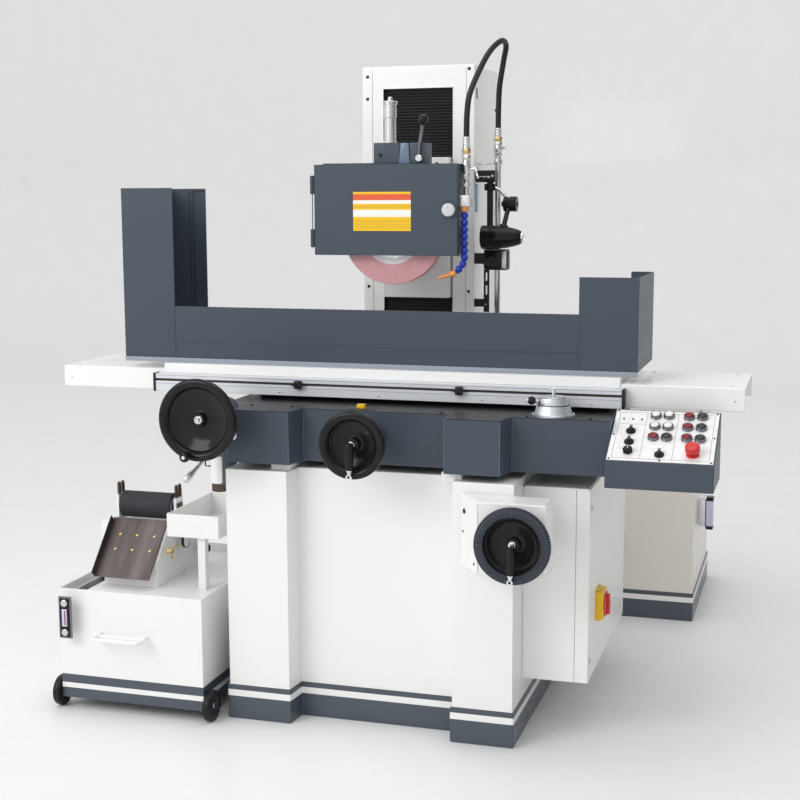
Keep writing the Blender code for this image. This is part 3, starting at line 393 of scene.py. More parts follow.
def smooth_route(route, steps):
    """Points on a Catmull-Rom curve through a route."""
    path = [Vector(point) for point in route]
    path = [2 * path[0] - path[1]] + path + [2 * path[-1] - path[-2]]
    points = []
    for i in range(1, len(path) - 2):
        a, b, c, d = path[i - 1:i + 3]
        for t in (step / steps for step in range(steps)):
            points.append(0.5 * (2 * b + (c - a) * t + (2 * a - 5 * b + 4 * c - d) * t * t
                                 + (3 * b - a - 3 * c + d) * t ** 3))
    return points + [path[-2]]


def turn_to(axis, centre=(0, 0, 0)):
    """Matrix that turns +Z to an axis and moves the origin to a centre."""
    return Matrix.Translation(centre) @ Z.rotation_difference(Vector(axis)).to_matrix().to_4x4()


def looped(items, closed=True):
    """Neighbouring pairs of a list, with the last and the first if it is closed."""
    return list(zip(items, items[1:])) + ([(items[-1], items[0])] if closed else [])


def round_edges(part, edge, steps):
    sharp = [e for e in part.edges if len(e.link_faces) == 2 and e.calc_face_angle(0) > math.radians(30)]
    bmesh.ops.bevel(part, geom=sharp, offset=edge, segments=steps, profile=0.6, affect="EDGES",
                    clamp_overlap=True)


class Form:
    """A mesh put together from closed forms, then made into one piece. Places count from its origin."""

    def __init__(self, origin=(0, 0, 0)):
        self.work = bmesh.new()
        self.origin = Vector(origin)

    def merge(self, part, place=None):
        bmesh.ops.recalc_face_normals(part, faces=part.faces)
        if place is not None:
            part.transform(place)
        scratch = bpy.data.meshes.new("scratch")
        part.to_mesh(scratch)
        part.free()
        self.work.from_mesh(scratch)
        bpy.data.meshes.remove(scratch)
        return self

    def box(self, low, high, edge=0.001, steps=2, place=None):
        low, high = self.origin + Vector(low), self.origin + Vector(high)
        part = bmesh.new()
        size = Matrix.Diagonal((*(high - low), 1.0))
        bmesh.ops.create_cube(part, size=1.0, matrix=Matrix.Translation((low + high) / 2) @ size)
        round_edges(part, edge, steps)
        return self.merge(part, place)

    def mark(self, low, high, edge=0.0002, place=None):
        """A thin bar on a face."""
        return self.box(low, high, edge, 1, place)

    def turned(self, profile, centre=(0, 0, 0), axis=(0, 0, 1), sides=48, closed=False):
        """Turns (radius, height) points in millimetres about an axis. A closed profile makes a ring."""
        part = bmesh.new()
        rings = [[part.verts.new((*polar(radius * MM, 360 * i / sides), height * MM))
                  for i in (range(sides) if radius else (0,))] for radius, height in profile]
        for first, second in looped(rings, closed):
            for i in range(sides):
                corners = (first[i % len(first)], first[(i + 1) % len(first)],
                           second[(i + 1) % len(second)], second[i % len(second)])
                unique = list(dict.fromkeys(corners))
                if len(unique) > 2:
                    part.faces.new(unique)
        return self.merge(part, turn_to(axis, self.origin + Vector(centre)))

    def tube(self, points, radius, sides=16, scales=None, closed=False):
        """A round bar along points, its section carried along without twist."""
        points = [self.origin + Vector(point) for point in points]
        part = bmesh.new()
        count = len(points)
        rings = []
        side = None
        for i, point in enumerate(points):
            before = points[i - 1] if closed or i else point
            after = points[(i + 1) % count] if closed or i + 1 < count else point
            ahead = (after - before).normalized()
            if side is None:
                side = ahead.orthogonal().normalized()
            side = (side - ahead * side.dot(ahead)).normalized()
            other = ahead.cross(side)
            size = radius * (scales[i] if scales else 1.0)
            turns = (polar(size, 360 * k / sides) for k in range(sides))
            rings.append([part.verts.new(point + side * a + other * b) for a, b in turns])
        for first, second in looped(rings, closed):
            for (a, b), (d, c) in zip(looped(first), looped(second)):
                part.faces.new((a, b, c, d))
        if not closed:
            part.faces.new(rings[0])
            part.faces.new(rings[-1])
        return self.merge(part)

    def prism(self, outline, depth, place, edge=0.0, steps=2):
        """A flat outline in local XY, standing from 0 to depth on local Z."""
        part = bmesh.new()
        low, high = ([part.verts.new((u, v, z)) for u, v in outline] for z in (0.0, depth))
        part.faces.new(low)
        part.faces.new(high)
        for (a, b), (d, c) in zip(looped(low), looped(high)):
            part.faces.new((a, b, c, d))
        if edge:
            bmesh.ops.recalc_face_normals(part, faces=part.faces)
            round_edges(part, edge, steps)
        return self.merge(part, place)

    def screw(self, centre, axis, radius=4, height=2.5, sides=20):
        """Button-head screw with a socket, in millimetres."""
        r, h = radius, height
        return self.turned([(0, h * 0.35), (r * 0.42, h * 0.35), (r * 0.5, h), (r * 0.72, h * 0.93),
                            (r * 0.93, h * 0.6), (r, h * 0.25), (r, -1), (0, -1)], centre, axis, sides)

    def screws(self, xs, ys, zs, axis, radius=4, height=2.5, sides=20):
        """A grid of screws. A single place on an axis may be a bare number."""
        for place in product(*(v if isinstance(v, tuple) else (v,) for v in (xs, ys, zs))):
            self.screw(place, axis, radius, height, sides)
        return self

    def bolt(self, centre, axis, radius=7, height=5):
        """Hexagon head with a washer under it, in millimetres."""
        r, h = radius, height
        self.turned([(0, 1.2), (r * 1.25, 1.2), (r * 1.25, -0.4), (0, -0.4)], centre, axis, 24)
        return self.turned([(0, h), (r * 0.82, h), (r, h * 0.8), (r, 1), (0, 1)], centre, axis, 6)

    def piece(self, name, look, owner, *replaced, crease=35):
        """Makes the object: its material, the CAD nodes it stands for and its body."""
        mesh = bpy.data.meshes.new(name)
        self.work.to_mesh(mesh)
        self.work.free()
        mesh.materials.append(LOOKS[look])
        mesh.shade_smooth()
        mesh.set_sharp_from_angle(angle=math.radians(crease))
        made = bpy.data.objects.new(name, mesh)
        bpy.context.scene.collection.objects.link(made)
        if replaced:
            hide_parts(*replaced)
        if owner:
            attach(made, owner)
        return made


# ---------------------------------------------------------------- CAD nodes that stay


EDGES = {  # the CAD's sheet and castings, with the radius of their worked edges
    "base_casting": 0.004, "column_cover": 0.0025, "hydraulic_tank": 0.003, "electric_cabinet": 0.002,
    "cabinet_door": 0.0025, "handwheel_box": 0.003, "saddle_casting": 0.002, "saddle_apron": 0.003,
    "control_box": 0.0015, "table_casting": 0.0015, "magnetic_chuck": 0.0015, "left_cover": 0.0009,
    "right_cover": 0.0009, "dog_rail": 0.0008, "splash_guard": 0.001, "spindle_head": 0.002,
    "wheel_guard": 0.0012, "guard_door": 0.001, "coolant_tank": 0.0012, "separator_body": 0.0012,
    "drip_tray": 0.001, "lamp_bracket": 0.0008, "dresser_body": 0.0015, "coolant_pipe": 0.0006,
}
PLAIN_FACES = (  # nodes whose flat faces stay as triangles, as their outlines are too thin to merge
    "base_casting", "column_cover", "control_box", "left_cover", "right_cover", "guard_door",
    "separator_body")
OWN_PAINT = {"base_casting": "base_paint", "hydraulic_tank": "hydraulic_paint", "coolant_tank": "tank_paint"}


def dress_nodes():
    """Gives each CAD node its finish, and rounds the edges of the large ones with modifiers only."""
    for row in RECORD["subparts"]:
        name = row["node"]
        node = frame["nodes"][name]
        node.data.materials.clear()
        node.data.materials.append(LOOKS[OWN_PAINT.get(name, row["material_slot"])])
        if name not in EDGES:
            continue
        weld = node.modifiers.new("weld", "WELD")
        weld.merge_threshold = 0.00002
        if name not in PLAIN_FACES:
            flat = node.modifiers.new("flat", "DECIMATE")
            flat.decimate_type = "DISSOLVE"
            flat.angle_limit = math.radians(1.0)
        edge = node.modifiers.new("edge", "BEVEL")
        edge.width = EDGES[name]
        edge.segments = 2
        edge.limit_method = "ANGLE"
        edge.angle_limit = math.radians(32)
        edge.harden_normals = True
        edge.use_clamp_overlap = True


# ---------------------------------------------------------------- coolant supply


def coolant_hose():
    """Black hose from the riser to the wheel guard: a stiff arch."""
    path = smooth_route(HOSE_ROUTE, 8)
    hose = Form().tube(path, HOSE_RADIUS, 24).piece("hose", "hose_rubber", None, "coolant_hose")
    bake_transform(hose)


def hose_end(name, owner, x, y, low, high, *replaced):
    """Crimped ferrule and swivel nut below a hose's end, from low to high."""
    tall = (high - low) / MM
    ferrule = [(0, tall), (10, tall), (11.2, tall - 2)]
    for top in (tall - 6 - 9 * i for i in range(4)):
        ferrule += [(11.2, top), (10.5, top - 1.5), (10.5, top - 4.5), (11.2, top - 6)]
    ferrule += [(11.2, tall * 0.36), (8, tall * 0.34), (0, tall * 0.34)]
    nut = [(0, tall * 0.34), (12.5, tall * 0.33), (13.2, tall * 0.29), (13.2, tall * 0.05), (12.5, 0), (0, 0)]
    Form((x, y, low)).turned(ferrule, sides=32).piece(name + "_ferrule", "satin_aluminium", owner, *replaced)
    Form((x, y, low)).turned(nut, sides=6).piece(name + "_nut", "brass", owner)


def valve_body(x, y, low, high):
    """Ball valve: hexagon ends and waisted barrel. The form's origin is on its axis, on the floor."""
    tall = (high - low) / MM
    top = [(0, tall), (12, tall), (13.2, tall - 2), (13.2, tall * 0.8), (11.8, tall * 0.77), (0, tall * 0.77)]
    barrel = [(0, tall * 0.8), (11.5, tall * 0.78), (13.8, tall * 0.62), (14.2, tall * 0.5),
              (13.8, tall * 0.36), (11.2, tall * 0.22), (0, tall * 0.2)]
    bottom = [(0, tall * 0.22), (12.5, tall * 0.22), (12.5, 2), (11.5, 0), (0, 0)]
    valve = Form((x, y, 0))
    for profile, sides in ((top, 6), (barrel, 32), (bottom, 6)):
        valve.turned(profile, (0, 0, low), sides=sides)
    return valve


def riser_pipe():
    """Polished riser with its foot flange, clips, valve and hose fitting."""
    low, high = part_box("coolant_pipe")
    x, y = 0.257, 0.25
    top = (1.7 - low.z) / MM
    pipe = Form((x, y, low.z)).turned([(0, top), (10.3, top), (10.3, 0), (0, 0)], sides=40)
    pipe.turned([(0, 12), (26, 12), (30, 9), (30, 0), (0, 0)], sides=40)
    for angle in (45, 135, 225, 315):
        pipe.bolt((*polar(0.021, angle), 0.012), Z, 4.2, 3.5)
    pipe.piece("riser_pipe", "drawn_steel", "base", "coolant_pipe")
    clips = Form((x, y, 0))
    for height in (1.02, 1.66):
        clips.box((-0.0665, -0.01, height + 0.002), (-0.006, 0.01, height + 0.006), 0.0008)
        clips.turned([(10.6, 16), (13.8, 16), (14.2, 14), (14.2, 2), (13.8, 0), (10.6, 0)],
                     (0, 0, height + 0.001), sides=32, closed=True)
        clips.screw((-0.032, 0, height + 0.006), Z, 4.5, 3)
    clips.piece("riser_clips", "bright_steel", "base")
    valve = valve_body(x, y, 1.69, 1.735).tube([(0.008, 0, 1.714), (0.02, -0.003, 1.716)], 0.0045)
    valve.piece("riser_valve", "bright_steel", "base")
    outline = [(-0.004, -0.004), (0.004, -0.004), (0.005, 0.01), (0.003, 0.026), (-0.003, 0.026),
               (-0.005, 0.01)]
    lever = Form().prism(outline, 0.002, turn_to(X, (x + 0.02, y - 0.003, 1.716)), 0.0006)
    lever.piece("riser_valve_lever", "bright_steel", "base")
    hose_end("riser", "base", x, y, 1.736, high.z)


def spray():
    """Spray valve with its lever, manifold block, jointed blue hose and orange nozzle."""
    x, y, upper_y = 0.2345, -0.1, -0.08
    hose_end("spray", "head", x, upper_y, 1.686, 1.7372, "spray_assembly")
    valve = valve_body(x, upper_y, 1.61, 1.684)
    valve.turned([(0, 56), (8.5, 56), (8.5, 0), (0, 0)], (0, 0, 1.555), sides=32)
    valve.turned([(0, 10), (12, 10), (12.6, 8), (12.6, 2), (12, 0), (0, 0)], (0, 0, 1.588), sides=6)
    valve.tube([(0.01, 0, 1.64), (0.026, -0.002, 1.641)], 0.0045)
    valve.piece("spray_valve", "bright_steel", "head")
    arm = [(0.024, -0.003, 1.642), (0.03, -0.006, 1.64), (0.036, -0.012, 1.626), (0.04, -0.014, 1.612)]
    lever = Form((x, upper_y, 0)).tube(smooth_route(arm, 4), 0.0026, 10)
    lever.turned([(0, 5), (5.5, 4), (5.8, 0), (5.5, -4), (0, -5)], (0.026, -0.002, 1.641), X, 16)
    lever.piece("spray_lever", "chrome_plate", "head")
    block = Form().box((0.2205, -0.1138, 1.528), (0.2513, -0.0702, 1.562), 0.0016, 3)
    block.screw((0.2385, -0.1138, 1.536), -Y, 3.5, 1.8)
    block.piece("spray_block", "satin_aluminium", "head")
    ring = [(0, 16), (10, 16), (12.2, 14), (12.6, 10), (11.2, 4), (9, 0), (0, 0)]
    Form().turned(ring, (x, y, 1.512), sides=32).piece("spray_ring", "nozzle_orange", "head")
    ball = [(0, 12.8), (6.2, 12.8), (6.8, 11.2), (6.2, 9.8)]
    ball += arc(11.5, 10.5, (58, 45, 30, 15, 0, -15, -30, -45, -58)) + [(8.6, -9.8), (8.6, -10.8), (0, -10.8)]
    balls = Form()
    behind = Vector((x, y, 1.521))
    for place in [(x, 1.501 - 0.0212 * i) for i in range(7)] + [(0.2295, 1.3535), (0.2175, 1.338)]:
        centre = Vector((place[0], y, place[1]))
        balls.turned(ball, centre, behind - centre, 28)
        behind = centre
    balls.piece("spray_hose_balls", "hose_blue", "head")
    start, end = Vector((0.205, y, 1.3265)), Vector((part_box("spray_nozzle")[0].x + 0.001, y, 1.3085))
    tall = (end - start).length / MM
    nozzle = [(0, -4), (6.2, -4), (10.5, 1), (10.8, 8), (9.2, 11), (9.2, 16), (7, 20), (4.2, tall - 4),
              (3.6, tall), (2.4, tall), (2.2, tall - 6), (0, tall - 6)]
    nozzle = Form().turned(nozzle, start, end - start, 32)
    nozzle.piece("nozzle", "nozzle_orange", "spray_nozzle", "spray_nozzle")


# ---------------------------------------------------------------- column


def pleats(side):
    """Pleated cover with rounded crests."""
    low, high = (corner.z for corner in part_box(side + "_bellows"))
    low, high = low + 0.001, high - 0.001
    crest, valley, thick, half = 0.2072, 0.219, 0.003, 0.127
    count = round((high - low) / 0.0098)
    pitch = (high - low) / count
    shape = [(0.0, valley), (0.18, valley - 0.0018), (0.4, crest + 0.0014), (0.5, crest),
             (0.6, crest + 0.0014), (0.82, valley - 0.0018)]
    line = [(y, high - (i + share) * pitch) for i in range(count) for share, y in shape] + [(valley, low)]
    part = bmesh.new()
    grid = [[part.verts.new((x, y + back, z)) for y, z in line]
            for x, back in ((-half, 0), (half, 0), (half, thick), (-half, thick))]
    for first, second in looped(grid):
        for i in range(len(line) - 1):
            part.faces.new((first[i], first[i + 1], second[i + 1], second[i]))
    for i in (0, -1):
        part.faces.new([row[i] for row in grid])
    made = Form().merge(part).piece(side + "_pleats", "bellows_cloth", None, side + "_bellows", crease=60)
    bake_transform(made)


def column():
    """Pleated covers, and the column cover's screws, seams, slots, strip and slot frame."""
    pleats("upper")
    pleats("lower")
    low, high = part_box("column_cover")
    heights = (1.85, 1.5, 1.15)
    screws = Form()
    for xs, ys, zs, axis in (
            (-0.172, low.y, (1.948, 1.877, 1.262), -Y), (0.172, low.y, (1.965, 1.858, 1.56, 1.25), -Y),
            (low.x, (low.y + 0.03, high.y - 0.03), heights, -X), (high.x, high.y - 0.03, heights, X),
            ((-0.15, 0.15), high.y, heights, Y)):
        screws.screws(xs, ys, zs, axis, 5.2, 2.8)
    screws.piece("cover_screws", "black_matte", "base")
    seams = Form().mark((low.x + 0.01, high.y - 0.001, 1.3), (high.x - 0.01, high.y + 0.0006, 1.3016))
    for x in (-0.1565, 0.1615):
        seams.mark((x, low.y - 0.0006, low.z + 0.02), (x + 0.0016, low.y + 0.001, high.z - 0.012))
    seams.piece("cover_seams", "pale_edge", "base")
    # The slots are flat near-black pills on the cover: painted shade in place of the dark openings.
    slots = Form()
    for top, bottom in ((1.905, 1.872), (1.65, 1.625)):
        end = (top - bottom) / 2 - 0.006
        outline = arc(0.0085, 0.0085, [22.5 * i for i in range(9)], (0, end))
        outline += arc(0.0085, 0.0085, [180 + 22.5 * i for i in range(9)], (0, -end))
        place = Matrix.Translation((high.x - 0.001, low.y + 0.03, (top + bottom) / 2)) @ AXES_X
        slots.prism(outline, 0.0016, place, 0.0002, 1)
    slots.piece("cover_slots", "ink", "base")
    strip = Form().mark((high.x, low.y + 0.01, 1.508), (high.x + 0.0012, low.y + 0.044, 1.6), 0.0003)
    strip.piece("cover_strip", "strip_blue", "base")
    bars = Form()
    for x_low, x_high, z_low, z_high in ((-0.1215, -0.1178, 0.832, 1.908), (0.1178, 0.1215, 0.832, 1.908),
                                         (-0.1215, 0.1215, 1.9075, 1.9115)):
        bars.box((x_low, 0.1985, z_low), (x_high, 0.2025, z_high), 0.0008)
    bars.piece("slot_frame", "white_paint", "base")


# ---------------------------------------------------------------- wheel head


def wheel_and_guard():
    """Grinding wheel with its flange, notice plate, door hinges and knob."""
    low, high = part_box("grinding_wheel")
    front, rear, r = -low.y / MM, -high.y / MM, (high.x - low.x) / 2 / MM
    hub = (0, 0, SPINDLE_Z)
    ring = [(64, front), (r - 3, front), (r - 0.8, front - 0.8), (r, front - 3), (r, rear + 3),
            (r - 0.8, rear + 0.8), (r - 3, rear), (64, rear)]
    wheel = Form(hub).turned(ring, axis=-Y, sides=160, closed=True)
    wheel.piece("wheel", "wheel_abrasive", "wheel_spindle", "grinding_wheel")
    flange = [(0, 116), (18, 116), (20.5, 114), (21, 111), (21, 97), (62, 97), (66, 95.5), (81, 95),
              (84.5, 93.5), (84.5, front + 0.4), (63, front + 0.4), (63, rear - 0.4), (84.5, rear - 0.4),
              (84.5, 44), (30, 44), (30, -190), (0, -190)]
    flange = Form(hub).turned(flange, axis=-Y, sides=96)
    for i in range(6):
        x, z = polar(0.072, 60 * i)
        flange.bolt((x, -0.095, z), -Y, 5.2, 4)
    flange.piece("wheel_hub", "satin_aluminium", "wheel_spindle", "spindle")
    paper = [(85, 88.4), (100, 88.4), (100, 87.8), (85, 87.8)]
    Form(hub).turned(paper, axis=-Y, sides=96, closed=True).piece(
        "wheel_blotter", "plate_white", "wheel_spindle")
    face, seam = -0.1343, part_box("guard_door")[0].x + 0.0066
    Form().mark((-0.112, face - 0.0008, 1.454), (0.074, face, 1.573), 0.0003).piece(
        "notice_plate", "label_print", "guard_door")
    Form().mark((seam - 0.001, face - 0.0006, 1.4), (seam + 0.002, face, 1.626)).piece(
        "door_seam", "groove", "guard_door")
    hinges = Form((-0.2465, -0.1345, 0))
    barrel = [(0, 26.2), (5.2, 26.2), (6.2, 25), (6.2, 1.2), (5.2, 0), (0, 0)]
    for start in (1.404, 1.4318, 1.568, 1.5958):
        hinges.turned(barrel, (0, 0, start), sides=28)
    hinges.piece("door_hinge_barrels", "blue_grey_paint", "guard_door")
    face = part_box("door_knob")[1].y
    knob = [(0, 22.2), (14, 22.2), (18.6, 21.2), (20, 19), (20, 7.5), (19.2, 6.2), (12, 5), (12, 0), (0, 0)]
    Form().turned(knob, (0.196, face, 1.518), -Y, 64).piece("knob", "knob_grey", "door_knob", "door_knob")
    Form().mark((0.1953, face - 0.0226, 1.521), (0.1967, face - 0.022, 1.534)).piece(
        "knob_mark", "pale_edge", "door_knob")


def dresser():
    """Wheel dresser on the guard: machined quill with its feed collar, lever and casting details."""
    axis_place = (-0.011, -0.068, 0)
    low, high = (corner.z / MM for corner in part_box("dresser_quill"))
    quill = [(0, high), (5.5, high), (7.2, high - 2), (7.2, high - 10.5), (10, high - 12),
             (22.5, high - 12.5), (24, high - 14)]
    for top in (high - 15.5 - 1.8 * i for i in range(4)):
        quill += [(24, top), (23.5, top - 0.5), (23.5, top - 1), (24, top - 1.4)]
    quill += [(23.8, high - 22.8), (20, high - 23.5), (20, high - 29), (19, high - 30), (19, high - 33),
              (20.5, high - 34), (20.5, 1800), (19.2, 1799), (19.2, 1834), (10.5, 1834.5), (10.5, low + 15),
              (4, low + 8), (0, low)]
    Form(axis_place).turned(quill, sides=64).piece("quill", "drawn_steel", "dresser_quill", "dresser_quill")
    body = Form().box((-0.051, -0.115, 1.6575), (0.033, -0.035, 1.7218), 0.0016, 3)
    body.box((0.0335, -0.1, 1.6575), (0.064, -0.04, 1.7205), 0.0016, 3)
    body.box((0.064, -0.115, 1.6575), (0.1138, -0.036, 1.7212), 0.004, 3)
    body.piece("dresser_block", "blue_grey_paint", "head", "dresser_body")
    sleeve = [(12.8, 1814.8), (18, 1814.8), (18.6, 1814), (18.6, 1730), (21.5, 1728.5), (21.5, 1722.5),
              (12.8, 1722.5)]
    Form(axis_place).turned(sleeve, sides=64, closed=True).piece("dresser_sleeve", "drawn_steel", "head")
    # The web is drawn in a paler blue than the blue-grey block: a painted highlight on its face.
    web = Form().prism([(0, 0), (0.034, 0), (0.03, 0.0625), (0.006, 0.0625)], 0.0016,
                       Matrix.Translation((0.031, -0.1152, 1.658)) @ AXES_FRONT, 0.0006)
    web.piece("dresser_web", "pale_blue", "head")
    small = Form().screw((-0.028, -0.115, 1.684), -Y, 6, 2.6)
    for place in ((-0.205, -0.112), (-0.15, -0.112), (-0.19, -0.05), (0.15, -0.112)):
        small.screw((*place, 1.6572), Z, 5.2, 4.2)
    small.piece("dresser_screws", "black_matte", "head")
    Form().box((-0.215, -0.122, 1.6572), (-0.056, -0.06, 1.6608)).piece(
        "guard_top_plate", "blue_grey_paint", "head")
    hub = [(0, 12.5), (8.5, 12.5), (11.2, 10.5), (11.6, 2), (10.6, 0), (0, 0)]
    Form().turned(hub, (0.096, -0.1153, 1.673), -Y, 40).piece(
        "dresser_lever_hub", "bright_steel", "dresser_lever", "dresser_lever")
    bend = [(0.096, -0.1215, 1.676), (0.098, -0.1215, 1.712), (0.1035, -0.121, 1.748),
            (0.1075, -0.121, 1.776)]
    Form().tube(smooth_route(bend, 6), 0.0048, 20).piece("dresser_lever_rod", "dark_chrome", "dresser_lever")
    top = Vector((0.11, -0.121, 1.79))
    ball = [(0, 15)] + arc(15.2, 15.2, range(80, -61, -10)) + [(6.5, -15), (6.2, -19), (0, -19)]
    Form().turned(ball, top, top - Vector(bend[-1]), 40).piece(
        "dresser_lever_ball", "black_plastic", "dresser_lever")


# ---------------------------------------------------------------- splash guard and table


def splash_details():
    """Folds, seams and the pale lower lip of the splash guard, whose pale colour is a painted highlight."""
    low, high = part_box("splash_guard")
    thin_bars = Form((0, low.y, 0)).box((-0.655, -0.0012, 1.1035), (0.612, 0.0004, 1.1055), 0.0004)
    for x in (-0.6765, 0.6105):
        thin_bars.box((x, -0.0012, 1.07), (x + 0.003, 0.0004, 1.218), 0.0005)
    thin_bars.piece("splash_folds", "blue_grey_paint", "table")
    grooves = Form((0, high.y, 0)).mark((-0.766, -0.0056, 1.578), (-0.722, -0.0036, 1.5812), 0.0003)
    for x in (-0.845, -0.7795, -0.766):
        grooves.mark((x, -0.0052, 1.06), (x + 0.0022, -0.0036, 1.578), 0.0003)
    grooves.piece("splash_grooves", "groove", "table")
    along_x = Matrix(((0, 0, 1, 0), (-1, 0, 0, 0), (0, 1, 0, 0), (0, 0, 0, 1)))
    # The lower lip is painted pale blue-grey: a painted highlight on its lit bevel.
    lip = [(0.0, 0.0), (0.0, 0.012), (0.003, 0.0145), (0.003, 0.0)]
    lip = Form().prism(lip, high.x - low.x, Matrix.Translation((low.x, low.y, low.z)) @ along_x, 0.0006)
    lip.piece("splash_lower_edge", "pale_edge", "table")


def table_details():
    """Table edge strip, rail end caps, trip dogs, cover screws and chuck fittings."""
    low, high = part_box("dog_rail")
    caps = Form()
    for x in (low.x - 0.0085, high.x + 0.0003):
        caps.box((x, low.y - 0.001, low.z - 0.0015), (x + 0.0082, high.y, high.z + 0.0015), 0.0012)
    caps.piece("rail_caps", "black_matte", "table")
    left, right = low.x + 0.001, high.x - 0.001
    # A near-black sheet on the floor of the rail's slot: painted shade inside the slot.
    Form((0, low.y, 0)).mark((left, 0.0068, 0.9874), (right, 0.0079, 0.9946), 0.0003).piece(
        "rail_slot_floor", "ink", "table")
    lines = Form((0, low.y, 0))
    for z in (0.9785, 1.0045):
        lines.mark((left, -0.0005, z), (right, 0.0004, z + 0.0012))
    lines.piece("rail_lines", "pale_edge", "table")
    Form().box((-0.7, -0.2725, 1.0105), (0.74, -0.2702, 1.0395), 0.0009).piece(
        "table_edge_strip", "white_paint", "table")
    Form().screws((-0.62, -0.3, 0.02, 0.34, 0.66), low.y, 0.9655, -Y, 3.2, 1.2).piece(
        "rail_screws", "bright_steel", "table")
    low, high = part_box("right_cover")
    left_low, left_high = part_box("left_cover")
    heads = Form().screws((high.x - 0.028, left_low.x + 0.028), low.y, low.z + 0.03, -Y, 3.2, 1.2)
    heads.screws((high.x - 0.04, low.x + 0.06, left_low.x + 0.04, left_high.x - 0.06),
                 (low.y + 0.03, high.y - 0.03), high.z, Z, 4.5, 2.2)
    heads.piece("cover_heads", "bright_steel", "table")
    trip_dog("trip_dog_left", -0.236)
    trip_dog("trip_dog_right", 0.271)
    low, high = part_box("magnetic_chuck")
    stops = Form()
    for x in (low.x - 0.0005, high.x - 0.012):
        stops.box((x, low.y + 0.01, high.z - 0.03), (x + 0.0125, high.y - 0.01, high.z - 0.006), 0.002)
    stops.piece("chuck_stops", "bright_steel", "table")
    hold = Form()
    for x in (-0.515, 0.515):
        hold.box((x - 0.014, -0.105, 1.0405), (x + 0.014, -0.055, 1.062), 0.002)
        hold.bolt((x, -0.08, 1.062), Z, 9, 8)
    hold.piece("chuck_clamps", "bright_steel", "table")
    skirt = Form().box((low.x + 0.001, low.y - 0.0006, 1.041),
                       (high.x - 0.001, high.y + 0.0006, high.z - 0.02), 0.0012)
    skirt.piece("chuck_skirt", "blue_grey_paint", "table")


def star(radius, lobes, steps=6):
    """Outline of a star knob with round lobes."""
    count = lobes * steps
    return [polar(radius * (0.86 + 0.14 * polar(1, 360 * i / steps)[0]), 360 * i / count)
            for i in range(count)]


def trip_dog(name, x):
    """Dog block in the rail's slot, clamped by a star knob, with its thin trigger blade."""
    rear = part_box(name)[1].y
    face = rear - 0.0163
    dog = Form((x, 0, 0)).box((-0.0105, face + 0.004, 0.9785), (0.0105, rear, 1.0035), 0.0012)
    dog.box((-0.026, rear - 0.003, 0.988), (0.026, rear - 0.0006, 0.994), 0.0005)
    dog.prism(star(0.013, 6), 0.01, Matrix.Translation((x, face + 0.004, 0.991)) @ AXES_FRONT, 0.001)
    dog.turned([(0, 2.6), (4.5, 2.6), (5.2, 1.2), (5.2, 0), (0, 0)], (0, face - 0.006, 0.991), -Y, 24)
    dog.piece(name + "_knob", "black_matte", name, name)


# ---------------------------------------------------------------- handwheels and levers


TABLE_WHEEL = ((-0.41, -0.62, 0.927), 120)  # centre, and radius in millimetres
CROSS_WHEEL = ((0.048, -0.6, 0.873), 97)
ELEVATING_WHEEL = ((0.52, -0.665, 0.634), 105)


def dish(r, shaft, ringed):
    """Profile of a dished wheel; a ringed one has a flat outer band made apart."""
    hub = [(0, 30), (14, 30), (17.5, 29), (19.5, 26.2), (20, 16), (21.5, 12.5), (24.5, 11.2)]
    web = [(33, 11.8), (r * 0.5, 16.5), (r * 0.64, 23.5), (r - 34, 28.5), (r - 30.5, 30)]
    if ringed:
        lip = [(r - 27, 33.5), (r - 26.5, 42), (r - 26.5, 30)]
    else:
        lip = [(r - 27.5, 35), (r - 23.5, 41.5), (r - 18, 44.8), (r - 12, 45.9), (r - 6, 45), (r - 1.5, 41),
               (r, 35), (r - 0.8, 28.5), (r - 4.5, 22), (r - 10, 18.5)]
    return hub + web + lip + [(30, 0.5), (20, 0), (13.8, 0), (13.8, -shaft), (0, -shaft)]


